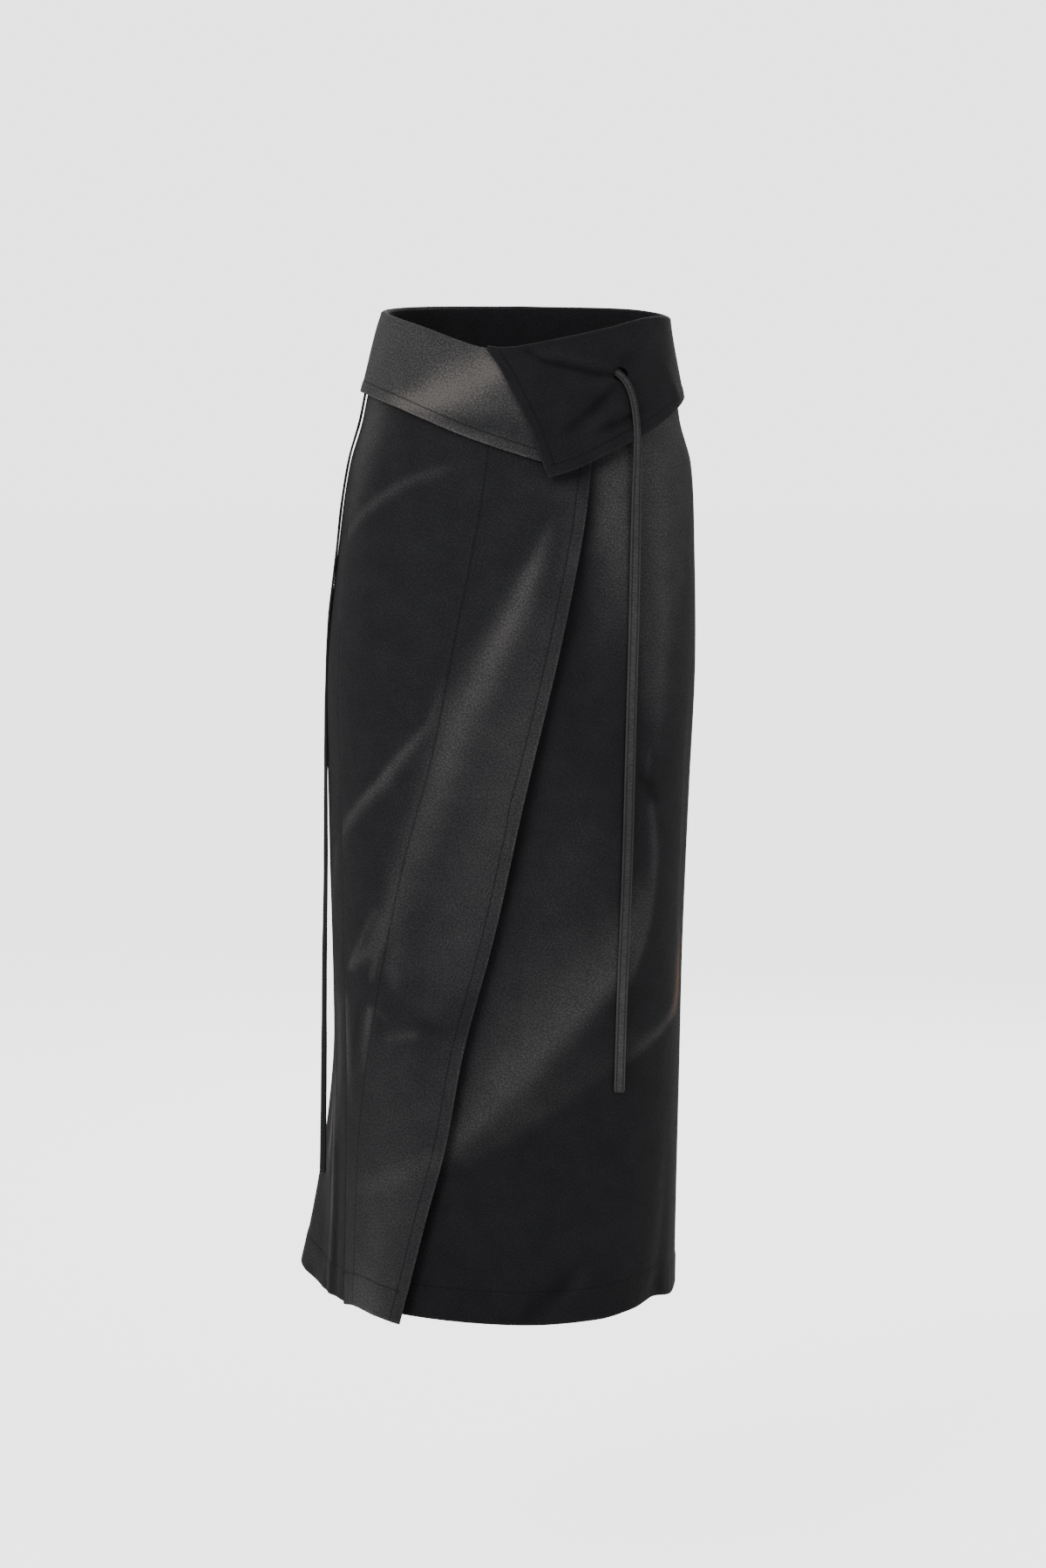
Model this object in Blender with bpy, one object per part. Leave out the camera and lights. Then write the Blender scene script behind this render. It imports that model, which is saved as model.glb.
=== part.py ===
"""Long wrap skirt with a fold-over top and two narrow ties, in the hollow form it has when worn.

Metres, +Z up. The front faces -Y, and +X is on the right when the skirt is seen from the front.
The origin is the middle of the waist opening, level with the lowest point of the front fold line.
An angle runs round the body in degrees: 0 at the front, 90 at +X, 180 at the back, -90 at -X.
A lift is how far a face stands outside the base surface, which is the outer face of the layer
that lies next to the body. Pieces are walls of cloth laid on that surface.
"""

import math
from collections import namedtuple

import bmesh
import bpy
from mathutils import Matrix, Vector

# Cloth
WALL = 0.0012
SEAM_GAP = 0.0003
FOLD_GAP = 0.0006
LAYER_GAP = 0.0009
LAYER_STEP = WALL + LAYER_GAP

# Ties
TIE_WIDTH = 0.0105
TIE_THICKNESS = 0.0024
TIE_ROUTE_POINTS = 56
OPENING_STEPS = 16
HOLE_HALF_WIDTH = 0.0075
HOLE_HALF_HEIGHT = 0.0064
HOLE_X = 0.0866
HOLE_HEIGHT = -0.0232
HOLE_DIMPLE = 0.0025
HOLE_DIMPLE_RADIUS = 0.022

# Fold-over top
ROLL_RADIUS = 0.0027
ROLL_TIGHT = 0.0014
ROLL_OUTER = ROLL_TIGHT + LAYER_STEP
ROLL_ROWS = 4
FOLD_JOIN = 96.0
LEFT_ROLL_OPEN = -40.0
LEFT_ROLL_TIGHT = -16.0
WRAP_END = 36.0
FLAP_SETTLED = 58.0
FALL_STAND_OFF = 0.0012
FALL_CURVE = 1.5

# Form of the body: how far it is fuller than an oval, and how its folds grow
FULLNESS = 0.025
FOLD_GROWTH = 2.0
FOLD_LIMIT = 1.1
CLIMB_SPARE = 6.0

# Fineness of the meshes and of the searches for places on them
PANEL_ROWS = 26
HOLE_SIDES = 20
CUTTER_DEPTH = 0.006
CURVE_STEPS = 24
ANGLE_STEP = 0.5
SEARCH_ROUNDS = 20
PLACE_ROUNDS = 5
SCREEN_GAMMA = 2.2

# The body's sections. Half widths to the left and right of the middle, and depths to the front
# and back of it, at each height.
Section = namedtuple("Section", "height left right front back")
SECTIONS = (
    Section(height=0.045, left=0.1190, right=0.1300, front=0.089, back=0.095),
    Section(height=0.015, left=0.1285, right=0.1330, front=0.095, back=0.100),
    Section(height=-0.039, left=0.1400, right=0.1420, front=0.102, back=0.108),
    Section(height=-0.068, left=0.1455, right=0.1462, front=0.105, back=0.112),
    Section(height=-0.105, left=0.1555, right=0.1560, front=0.108, back=0.116),
    Section(height=-0.180, left=0.1655, right=0.1595, front=0.113, back=0.121),
    Section(height=-0.290, left=0.1770, right=0.1605, front=0.118, back=0.124),
    Section(height=-0.400, left=0.1760, right=0.1555, front=0.121, back=0.124),
    Section(height=-0.545, left=0.1742, right=0.1498, front=0.125, back=0.125),
    Section(height=-0.665, left=0.1722, right=0.1472, front=0.128, back=0.127),
    Section(height=-0.815, left=0.1740, right=0.1436, front=0.133, back=0.130),
    Section(height=-0.885, left=0.1760, right=0.1420, front=0.1355, back=0.132),
)

# Soft folds that grow towards the hem: centre and half width in degrees, the heights where each
# starts and is full, and how far it then stands out, or in where negative.
Fold = namedtuple("Fold", "angle half_width start full amount")
FOLDS = (
    Fold(angle=-122.0, half_width=46.0, start=-0.46, full=-0.88, amount=0.061),
    Fold(angle=57.0, half_width=15.0, start=-0.78, full=-0.88, amount=-0.004),
    Fold(angle=150.0, half_width=26.0, start=-0.35, full=-0.88, amount=0.010),
    Fold(angle=104.0, half_width=20.0, start=-0.45, full=-0.88, amount=0.004),
)

# Lines round the body: a height at each angle
Line = namedtuple("Line", "angle height")
FOLD_LINE = (
    Line(-180.0, 0.042),
    Line(-135.0, 0.041),
    Line(-90.0, 0.0355),
    Line(-67.0, 0.0305),
    Line(-43.0, 0.0205),
    Line(-15.0, 0.0032),
    Line(-5.0, 0.0008),
    Line(14.0, 0.0085),
    Line(33.0, 0.0178),
    Line(52.0, 0.0270),
    Line(70.0, 0.0300),
    Line(90.0, 0.0300),
    Line(135.0, 0.0390),
    Line(180.0, 0.0420),
)
LEFT_FOLD_LINE = (
    Line(-100.0, 0.0365),
    Line(-90.0, 0.0355),
    Line(-67.0, 0.0305),
    Line(-43.0, 0.0205),
    Line(-22.0, 0.0052),
    Line(-16.0, 0.0010),
    Line(-11.0, -0.0006),
    Line(-4.0, -0.0015),
    Line(14.0, 0.0062),
    Line(33.0, 0.0155),
    Line(45.0, 0.0215),
)
HEM_LINE = (
    Line(-180.0, -0.8670),
    Line(-145.0, -0.8530),
    Line(-122.0, -0.8500),
    Line(-104.0, -0.8630),
    Line(-88.0, -0.8740),
    Line(-67.0, -0.8750),
    Line(-45.0, -0.8735),
    Line(0.0, -0.8785),
    Line(30.0, -0.8760),
    Line(44.0, -0.8715),
    Line(58.0, -0.8670),
    Line(75.0, -0.8710),
    Line(140.0, -0.8690),
    Line(180.0, -0.8670),
)
OVER_HEM_LINE = (
    Line(-90.0, -0.8775),
    Line(-67.0, -0.8775),
    Line(-58.0, -0.8745),
    Line(-46.0, -0.8765),
    Line(-36.0, -0.8805),
    Line(-20.0, -0.8850),
)
LEFT_FALL_EDGE = (
    Line(-100.0, -0.0355),
    Line(-88.0, -0.0370),
    Line(-70.0, -0.0410),
    Line(-51.0, -0.0500),
    Line(-37.0, -0.0610),
    Line(-17.0, -0.0805),
    Line(5.0, -0.0997),
    Line(16.0, -0.1075),
)
FLAP_FALL_EDGE = (
    Line(5.0, -0.1175),
    Line(16.5, -0.1085),
    Line(31.5, -0.0900),
    Line(45.0, -0.0760),
    Line(63.0, -0.0580),
    Line(78.0, -0.0470),
    Line(90.0, -0.0420),
    Line(100.0, -0.0400),
)
BACK_FALL_EDGE = (
    Line(90.0, -0.0420),
    Line(120.0, -0.0350),
    Line(180.0, -0.0320),
    Line(240.0, -0.0340),
    Line(270.0, -0.0370),
)

# Lines down the front: a distance from the middle at each height
Edge = namedtuple("Edge", "height x")
WRAP_EDGE = (
    Edge(0.040, 0.0740),
    Edge(-0.050, 0.0665),
    Edge(-0.115, 0.0612),
    Edge(-0.171, 0.0537),
    Edge(-0.276, 0.0327),
    Edge(-0.402, 0.0032),
    Edge(-0.522, -0.0226),
    Edge(-0.629, -0.0500),
    Edge(-0.716, -0.0655),
    Edge(-0.785, -0.0828),
    Edge(-0.890, -0.1070),
)
PANEL_SEAM = (
    Edge(0.040, -0.0240),
    Edge(-0.091, -0.0310),
    Edge(-0.155, -0.0396),
    Edge(-0.258, -0.0600),
    Edge(-0.370, -0.0821),
    Edge(-0.460, -0.1061),
    Edge(-0.572, -0.1282),
    Edge(-0.706, -0.1475),
    Edge(-0.890, -0.1550),
)
UNDER_EDGE = (
    Edge(0.040, -0.0290),
    Edge(0.000, -0.0315),
    Edge(-0.120, -0.0450),
    Edge(-0.500, -0.0950),
    Edge(-0.890, -0.1380),
)
FLAP_EDGE = (
    Edge(0.010, -0.0340),
    Edge(0.000, -0.0310),
    Edge(-0.0155, -0.0200),
    Edge(-0.035, -0.0100),
    Edge(-0.076, 0.0095),
    Edge(-0.098, 0.0165),
    Edge(-0.118, 0.0250),
)
LEFT_FALL_END = (
    Edge(0.040, 0.0720),
    Edge(0.000, 0.0680),
    Edge(-0.050, 0.0560),
    Edge(-0.110, 0.0330),
)

# Side seams: an angle at each height
Seam = namedtuple("Seam", "height angle")
LEFT_SIDE_SEAM = (
    Seam(0.050, -80.0),
    Seam(-0.100, -77.0),
    Seam(-0.220, -69.3),
    Seam(-0.400, -67.3),
    Seam(-0.890, -67.3),
)
RIGHT_SIDE_SEAM = (
    Seam(0.050, 80.0),
    Seam(-0.240, 77.0),
    Seam(-0.890, 77.0),
)

# How far the free wrap edge stands off the front under it, at each height
StandOff = namedtuple("StandOff", "height amount")
WRAP_STAND_OFF = (
    StandOff(-0.090, 0.0000),
    StandOff(-0.200, 0.0030),
    StandOff(-0.400, 0.0050),
    StandOff(-0.650, 0.0065),
    StandOff(-0.890, 0.0095),
)
WRAP_STAND_OFF_REACH = 0.075

# Routes of the ties' middles, and the way the flat side faces, in degrees round the body
TiePoint = namedtuple("TiePoint", "x y z facing")
TIE_RIGHT_ROUTE = (
    TiePoint(0.0818, -0.0850, -0.0208, 26.0),
    TiePoint(0.0848, -0.0848, -0.0216, 26.0),
    TiePoint(0.0882, -0.0864, -0.0235, 27.0),
    TiePoint(0.0922, -0.0886, -0.0275, 29.0),
    TiePoint(0.0962, -0.0893, -0.0340, 30.0),
    TiePoint(0.0996, -0.0892, -0.0430, 32.0),
    TiePoint(0.1020, -0.0889, -0.0550, 32.0),
    TiePoint(0.1036, -0.0897, -0.0690, 32.0),
    TiePoint(0.1042, -0.0915, -0.0840, 30.0),
    TiePoint(0.1040, -0.0922, -0.1050, 27.0),
    TiePoint(0.1032, -0.0930, -0.1350, 25.0),
    TiePoint(0.1015, -0.0963, -0.2340, 22.0),
    TiePoint(0.0985, -0.1000, -0.3510, 22.0),
    TiePoint(0.0955, -0.1030, -0.4700, 20.0),
    TiePoint(0.0912, -0.1065, -0.5800, 18.0),
    TiePoint(0.0887, -0.1095, -0.6700, 16.0),
)
TIE_LEFT_ROUTE = (
    TiePoint(-0.1381, -0.0080, -0.0200, -86.0),
    TiePoint(-0.1422, -0.0085, -0.0380, -86.0),
    TiePoint(-0.1480, -0.0090, -0.0660, -87.0),
    TiePoint(-0.1575, -0.0100, -0.0990, -88.0),
    TiePoint(-0.1645, -0.0110, -0.1400, -88.0),
    TiePoint(-0.1695, -0.0120, -0.1850, -86.0),
    TiePoint(-0.1765, -0.0125, -0.2450, -84.0),
    TiePoint(-0.1795, -0.0130, -0.3100, -82.0),
    TiePoint(-0.1803, -0.0135, -0.3900, -80.0),
    TiePoint(-0.1808, -0.0140, -0.4800, -80.0),
    TiePoint(-0.1822, -0.0145, -0.5600, -79.0),
    TiePoint(-0.1832, -0.0150, -0.6600, -76.0),
    TiePoint(-0.1848, -0.0155, -0.7620, -70.0),
)

# Finishes: sRGB colour and roughness
Finish = namedtuple("Finish", "name colour roughness")
CHARCOAL = Finish("faded_charcoal_twill", (0.21, 0.21, 0.215), 0.85)
BLACK = Finish("black_twill", (0.11, 0.11, 0.115), 0.85)


def clear_scene():
    """Remove every object, so that the model starts from nothing."""
    for old in list(bpy.data.objects):
        bpy.data.objects.remove(old, do_unlink=True)


def soft_step(value):
    """0 below 0, 1 above 1, and a soft rise between."""
    value = min(max(value, 0.0), 1.0)
    return value * value * (3.0 - 2.0 * value)


def read_table(rows, at, column):
    """The column's value where the rows' first column is `at`, on a smooth curve through them."""
    if rows[0][0] > rows[-1][0]:
        rows = rows[::-1]
    values = [(row[0], getattr(row, column)) for row in rows]
    at = min(max(at, values[0][0]), values[-1][0])
    index = 0
    while index < len(values) - 2 and at > values[index + 1][0]:
        index += 1

    def slope(k):
        before = values[max(k - 1, 0)]
        after = values[min(k + 1, len(values) - 1)]
        return (after[1] - before[1]) / (after[0] - before[0])

    (start, low), (end, high) = values[index], values[index + 1]
    span = end - start
    t = (at - start) / span
    bend_low = slope(index) * span
    bend_high = slope(index + 1) * span
    return (
        low * (2 * t**3 - 3 * t**2 + 1)
        + bend_low * (t**3 - 2 * t**2 + t)
        + high * (-2 * t**3 + 3 * t**2)
        + bend_high * (t**3 - t**2)
    )


def wrapped(angle):
    """The same angle between -180 and 180."""
    return (angle + 180.0) % 360.0 - 180.0


def base_point(angle, height):
    """A point of the plain oval body."""
    turn = math.radians(angle)
    across = math.sin(turn)
    along = math.cos(turn)
    half_width = read_table(SECTIONS, height, "right" if across > 0 else "left")
    depth = read_table(SECTIONS, height, "front" if along > 0 else "back")
    full = 1.0 + FULLNESS * math.sin(2.0 * turn) ** 2
    return Vector((half_width * across * full, -depth * along * full, height))


def outward(surface, angle, height):
    """The level direction that points straight out of a surface."""
    along = surface(angle + ANGLE_STEP, height) - surface(angle - ANGLE_STEP, height)
    return Vector((-along.y, along.x, 0.0)).normalized() * -1.0


def fold_amount(angle, height):
    """How far the soft folds move the body's surface at one place."""
    total = 0.0
    for fold in FOLDS:
        away = abs(wrapped(angle - fold.angle)) / fold.half_width
        grown = min(max((height - fold.start) / (fold.full - fold.start), 0.0), FOLD_LIMIT)
        if away < 1.0:
            total += fold.amount * grown**FOLD_GROWTH * 0.5 * (1.0 + math.cos(math.pi * away))
    return total


def body_point(angle, height):
    """A point of the base surface, with its folds."""
    return base_point(angle, height) + outward(base_point, angle, height) * fold_amount(angle, height)


def skin_point(angle, height, lift):
    """A point that stands off the base surface by `lift`."""
    return body_point(angle, height) + outward(body_point, angle, height) * lift


def angle_at(x, height):
    """The front angle where the body is `x` from the middle."""
    low, high = -90.0, 90.0
    for _ in range(SEARCH_ROUNDS):
        middle = 0.5 * (low + high)
        if body_point(middle, height).x < x:
            low = middle
        else:
            high = middle
    return 0.5 * (low + high)


def edge_angle(edge, height):
    """The angle of a line down the front."""
    return angle_at(read_table(edge, height, "x"), height)


def degrees_for(distance, angle, height):
    """The angle that a short distance along the cloth takes up."""
    ahead = body_point(angle + ANGLE_STEP, height)
    behind = body_point(angle - ANGLE_STEP, height)
    return distance * 2.0 * ANGLE_STEP / (ahead - behind).length


def over_lift(angle, height):
    """Lift of the over front's outer face: flush at the side seam, then over the under front."""
    seam = read_table(LEFT_SIDE_SEAM, height, "angle")
    under = edge_angle(UNDER_EDGE, height)
    climb = soft_step((angle - seam) / (under - CLIMB_SPARE - seam))
    edge = edge_angle(WRAP_EDGE, height)
    reach = degrees_for(WRAP_STAND_OFF_REACH, edge, height)
    near_edge = soft_step(1.0 - (edge - angle) / reach)
    return LAYER_STEP * climb + read_table(WRAP_STAND_OFF, height, "amount") * near_edge


def flat_lift(angle, height):
    """Lift of a front or back that lies next to the body."""
    return 0.0


def fold_line(angle):
    """Height of the top of the outermost fold."""
    return read_table(FOLD_LINE, wrapped(angle), "height")


def left_roll(angle):
    """Radius of the fold at the top of the over front: tight where the flap covers it."""
    tight = soft_step((angle - LEFT_ROLL_OPEN) / (LEFT_ROLL_TIGHT - LEFT_ROLL_OPEN))
    return ROLL_RADIUS + (ROLL_TIGHT - ROLL_RADIUS) * tight


def left_roll_height(angle):
    """Height of the middle of that fold, which passes under the flap."""
    return read_table(LEFT_FOLD_LINE, angle, "height") - left_roll(angle) - WALL / 2


def flap_roll(angle):
    """Radius of the flap's fold: wide over the wrapped layers, then as on the rest."""
    settle = soft_step((angle - WRAP_END) / (FLAP_SETTLED - WRAP_END))
    return ROLL_OUTER + (ROLL_RADIUS - ROLL_OUTER) * settle


def flap_roll_height(angle):
    """Height of the middle of the flap's fold."""
    return fold_line(angle) - flap_roll(angle) - WALL / 2


def back_roll(angle):
    """Radius of the fold at the back."""
    return ROLL_RADIUS


def back_roll_height(angle):
    """Height of the middle of the back's fold."""
    return fold_line(angle) - ROLL_RADIUS - WALL / 2


def cloth_piece(name, columns, rows, place, finish):
    """A closed wall of cloth. `place` gives the point for a share across, a share up and a face."""
    mesh = bmesh.new()
    bmesh.ops.create_grid(mesh, x_segments=columns, y_segments=rows, size=0.5)
    grown = bmesh.ops.extrude_face_region(mesh, geom=mesh.faces[:], use_keep_orig=True)
    inner = {item for item in grown["geom"] if isinstance(item, bmesh.types.BMVert)}
    for vertex in mesh.verts:
        across = vertex.co.x + 0.5
        up = vertex.co.y + 0.5
        vertex.co = place(across, up, vertex in inner)
    bmesh.ops.recalc_face_normals(mesh, faces=mesh.faces[:])
    return finished_object(name, mesh, finish)


def finished_object(name, mesh, finish):
    """Turn a bmesh into a named, smooth object with its own material."""
    data = bpy.data.meshes.new(name)
    mesh.to_mesh(data)
    mesh.free()
    data.shade_smooth()
    piece = bpy.data.objects.new(name, data)
    bpy.context.scene.collection.objects.link(piece)
    material = bpy.data.materials.new(f"{name}_{finish.name}")
    material.use_nodes = True
    shader = material.node_tree.nodes["Principled BSDF"]
    shader.inputs["Base Color"].default_value = (*[value**SCREEN_GAMMA for value in finish.colour], 1.0)
    shader.inputs["Roughness"].default_value = finish.roughness
    shader.inputs["Metallic"].default_value = 0.0
    data.materials.append(material)
    return piece


def panel(name, columns, start, end, hem, top, lift, finish):
    """A panel of the body between two edges, from the hem to the start of the fold-over."""

    def place(across, up, inner):
        height = SECTIONS[-1].height
        angle = 0.0
        for _ in range(PLACE_ROUNDS):
            first = start(height)
            last = end(height)
            first += degrees_for(SEAM_GAP / 2, first, height)
            last -= degrees_for(SEAM_GAP / 2, last, height)
            angle = first + (last - first) * across
            low = hem(angle)
            height = low + (top(angle) - FOLD_GAP - low) * up
        return skin_point(angle, height, lift(angle, height) - (WALL if inner else 0.0))

    return cloth_piece(name, columns, PANEL_ROWS, place, finish)


def fold_over(name, columns, fall_rows, start, end, body_lift, roll, roll_height, edge, dimple, finish):
    """The top of a panel, rolled outwards over its top line and hanging down outside."""
    rows = ROLL_ROWS + fall_rows

    def place(across, up, inner):
        step = (1.0 - up) * rows
        half_wall = -WALL / 2 if inner else WALL / 2
        height = 0.0
        angle = 0.0
        for _ in range(PLACE_ROUNDS):
            first = start(height)
            last = end(height)
            first += degrees_for(SEAM_GAP / 2, first, height)
            last -= degrees_for(SEAM_GAP / 2, last, height)
            angle = first + (last - first) * across
            middle = roll_height(angle)
            fallen = max(step - ROLL_ROWS, 0.0) / fall_rows
            height = middle + (edge(angle) - middle) * fallen
        radius = roll(angle)
        centre = body_lift(angle, middle) - WALL / 2 + radius
        if step <= ROLL_ROWS:
            turn = math.pi * (1.0 - step / ROLL_ROWS)
            reach = radius + half_wall
            return skin_point(angle, middle, centre + reach * math.cos(turn)) + Vector(
                (0.0, 0.0, reach * math.sin(turn))
            )
        lift = centre + radius + half_wall + FALL_STAND_OFF * fallen**FALL_CURVE - dimple(angle, height)
        return skin_point(angle, height, lift)

    return cloth_piece(name, columns, rows, place, finish)


def no_dimple(angle, height):
    """A fall that nothing pulls in."""
    return 0.0


def hole_dimple(angle, height):
    """How far the tie pulls the flap in round its hole."""
    beside = degrees_for(1.0, angle, height)
    across = (angle - angle_at(HOLE_X, HOLE_HEIGHT)) / beside
    away = math.hypot(across, height - HOLE_HEIGHT) / HOLE_DIMPLE_RADIUS
    return HOLE_DIMPLE * max(1.0 - away**2, 0.0) ** 2


def build_panels():
    """The four panels of the body."""
    panel(
        "over_side_front", columns=10,
        start=lambda height: read_table(LEFT_SIDE_SEAM, height, "angle"),
        end=lambda height: edge_angle(PANEL_SEAM, height),
        hem=lambda angle: read_table(OVER_HEM_LINE, angle, "height"),
        top=left_roll_height, lift=over_lift, finish=CHARCOAL,
    )
    panel(
        "over_centre_front", columns=10,
        start=lambda height: edge_angle(PANEL_SEAM, height),
        end=lambda height: edge_angle(WRAP_EDGE, height),
        hem=lambda angle: read_table(OVER_HEM_LINE, angle, "height"),
        top=left_roll_height, lift=over_lift, finish=CHARCOAL,
    )
    panel(
        "under_front", columns=20,
        start=lambda height: edge_angle(UNDER_EDGE, height),
        end=lambda height: read_table(RIGHT_SIDE_SEAM, height, "angle"),
        hem=lambda angle: read_table(HEM_LINE, angle, "height"),
        top=flap_roll_height, lift=flat_lift, finish=CHARCOAL,
    )
    panel(
        "back", columns=30,
        start=lambda height: read_table(RIGHT_SIDE_SEAM, height, "angle"),
        end=lambda height: read_table(LEFT_SIDE_SEAM, height, "angle") + 360.0,
        hem=lambda angle: read_table(HEM_LINE, wrapped(angle), "height"),
        top=back_roll_height, lift=flat_lift, finish=CHARCOAL,
    )


def build_folds():
    """The three lengths of the fold-over top."""
    fold_over(
        "fold_left", columns=22, fall_rows=6,
        start=lambda height: -FOLD_JOIN,
        end=lambda height: edge_angle(LEFT_FALL_END, height),
        body_lift=over_lift, roll=left_roll, roll_height=left_roll_height,
        edge=lambda angle: read_table(LEFT_FALL_EDGE, angle, "height"),
        dimple=no_dimple, finish=CHARCOAL,
    )
    flap = fold_over(
        "fold_right", columns=22, fall_rows=9,
        start=lambda height: edge_angle(FLAP_EDGE, height),
        end=lambda height: FOLD_JOIN,
        body_lift=flat_lift, roll=flap_roll, roll_height=flap_roll_height,
        edge=lambda angle: read_table(FLAP_FALL_EDGE, angle, "height"),
        dimple=hole_dimple, finish=BLACK,
    )
    cut_tie_hole(flap)
    fold_over(
        "fold_back", columns=24, fall_rows=5,
        start=lambda height: FOLD_JOIN,
        end=lambda height: 360.0 - FOLD_JOIN,
        body_lift=flat_lift, roll=back_roll, roll_height=back_roll_height,
        edge=lambda angle: read_table(BACK_FALL_EDGE, angle, "height"),
        dimple=no_dimple, finish=CHARCOAL,
    )


def cut_tie_hole(flap):
    """Cut the oval hole that the tie comes out of."""
    angle = angle_at(HOLE_X, HOLE_HEIGHT)
    middle = flap_roll(angle) * 2.0 - WALL / 2 - HOLE_DIMPLE
    place = skin_point(angle, HOLE_HEIGHT, middle)
    out = outward(body_point, angle, HOLE_HEIGHT)
    side = Vector((0.0, 0.0, 1.0)).cross(out)
    mesh = bmesh.new()
    bmesh.ops.create_cone(
        mesh, cap_ends=True, segments=HOLE_SIDES, radius1=1.0, radius2=1.0, depth=CUTTER_DEPTH,
    )
    shape = Matrix.Diagonal((HOLE_HALF_WIDTH, HOLE_HALF_HEIGHT, 1.0, 1.0))
    turn = Matrix((side, Vector((0.0, 0.0, 1.0)), out)).transposed().to_4x4()
    bmesh.ops.transform(mesh, matrix=Matrix.Translation(place) @ turn @ shape, verts=mesh.verts[:])
    bmesh.ops.recalc_face_normals(mesh, faces=mesh.faces[:])
    cutter = finished_object("tie_hole_cutter", mesh, BLACK)
    cutter.hide_render = True
    cutter.display_type = "WIRE"
    cut = flap.modifiers.new("tie hole", "BOOLEAN")
    cut.operation = "DIFFERENCE"
    cut.solver = "EXACT"
    cut.object = cutter


def smooth_route(route, count):
    """Evenly spaced points and facings on a smooth curve through a route's points."""
    dense = []
    for index in range(len(route) - 1):
        before = route[max(index - 1, 0)]
        start, end = route[index], route[index + 1]
        after = route[min(index + 2, len(route) - 1)]
        for step in range(CURVE_STEPS):
            t = step / CURVE_STEPS
            blend = [
                0.5 * (
                    2 * b + (c - a) * t
                    + (2 * a - 5 * b + 4 * c - d) * t**2
                    + (3 * b - a - 3 * c + d) * t**3
                )
                for a, b, c, d in zip(before, start, end, after)
            ]
            dense.append((Vector(blend[:3]), blend[3]))
    dense.append((Vector(route[-1][:3]), route[-1].facing))
    walked = [0.0]
    for (here, _), (there, _) in zip(dense, dense[1:]):
        walked.append(walked[-1] + (there - here).length)
    points = []
    index = 0
    for step in range(count):
        target = walked[-1] * step / (count - 1)
        while index < len(walked) - 2 and walked[index + 1] < target:
            index += 1
        share = (target - walked[index]) / (walked[index + 1] - walked[index])
        (here, facing), (there, next_facing) = dense[index], dense[index + 1]
        points.append((here.lerp(there, share), facing + (next_facing - facing) * share))
    return points


def tie(name, route, narrow_start, finish):
    """A narrow flat tie along its route. Its start may be gathered narrower, as in a hole."""
    points = smooth_route(route, TIE_ROUTE_POINTS)
    mesh = bmesh.new()
    rings = []
    for index, (point, facing) in enumerate(points):
        ahead = points[min(index + 1, len(points) - 1)][0]
        behind = points[max(index - 1, 0)][0]
        along = (ahead - behind).normalized()
        turn = math.radians(facing)
        out = Vector((math.sin(turn), -math.cos(turn), 0.0))
        side = out.cross(along).normalized()
        out = along.cross(side).normalized()
        opened = soft_step(index / OPENING_STEPS)
        half_width = TIE_WIDTH / 2 * (narrow_start + (1.0 - narrow_start) * opened)
        half_depth = TIE_THICKNESS / 2
        corners = ((-1, -1), (1, -1), (1, 1), (-1, 1))
        rings.append([
            mesh.verts.new(point + side * (half_width * across) + out * (half_depth * up))
            for across, up in corners
        ])
    for ring, following in zip(rings, rings[1:]):
        for corner in range(4):
            after = (corner + 1) % 4
            mesh.faces.new((ring[corner], ring[after], following[after], following[corner]))
    mesh.faces.new(rings[0][::-1])
    mesh.faces.new(rings[-1])
    bmesh.ops.recalc_face_normals(mesh, faces=mesh.faces[:])
    return finished_object(name, mesh, finish)


def build_ties():
    """The two narrow ties."""
    tie("tie_right", TIE_RIGHT_ROUTE, narrow_start=0.6, finish=CHARCOAL)
    tie("tie_left", TIE_LEFT_ROUTE, narrow_start=1.0, finish=CHARCOAL)


def build():
    """Make the whole skirt."""
    clear_scene()
    build_panels()
    build_folds()
    build_ties()


build()
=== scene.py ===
import math
from collections import namedtuple

import bmesh
import bpy
import numpy as np
from mathutils import Matrix, Vector


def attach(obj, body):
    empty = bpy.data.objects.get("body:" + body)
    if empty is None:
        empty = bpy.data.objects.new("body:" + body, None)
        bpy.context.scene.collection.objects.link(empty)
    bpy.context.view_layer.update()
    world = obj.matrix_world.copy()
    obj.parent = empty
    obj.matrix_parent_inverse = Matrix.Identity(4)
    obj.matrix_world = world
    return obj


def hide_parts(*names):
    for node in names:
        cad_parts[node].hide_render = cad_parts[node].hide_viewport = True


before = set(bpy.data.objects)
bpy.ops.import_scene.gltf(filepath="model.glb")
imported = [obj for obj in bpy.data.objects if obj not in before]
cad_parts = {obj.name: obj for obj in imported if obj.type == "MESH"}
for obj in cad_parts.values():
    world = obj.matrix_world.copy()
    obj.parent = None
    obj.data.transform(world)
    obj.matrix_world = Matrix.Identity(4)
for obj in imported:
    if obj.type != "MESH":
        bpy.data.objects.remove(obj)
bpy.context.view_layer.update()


# Camera
# It stands level with the waist, 3.6 m in front of the skirt, and looks a little down.

CAMERA_PLACE = (0.0016, -3.600, -0.056)
CAMERA_TILT = 5.458

camera_data = bpy.data.cameras.new("camera")
camera_data.sensor_fit = "VERTICAL"
camera_data.sensor_height = 36.0
camera_data.lens = 89.64
camera = bpy.data.objects.new("camera", camera_data)
camera.location = CAMERA_PLACE
camera.rotation_euler = (math.radians(90.0 - CAMERA_TILT), 0.0, 0.0)
bpy.context.scene.collection.objects.link(camera)
bpy.context.scene.camera = camera


# Studio
# A plain pale floor, a bright pale room round it, and three large soft lamps, one of them behind.
# Floor and room are seen brighter than they light the cloth, as in front of a brightly lit wall.

FLOOR_HEIGHT = -1.16
FLOOR_SIZE = 40.0
ROOM_COLOUR = (0.95, 0.95, 0.955)
ROOM_STRENGTH = 0.9
SEEN_BRIGHTER = 2.2


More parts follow.
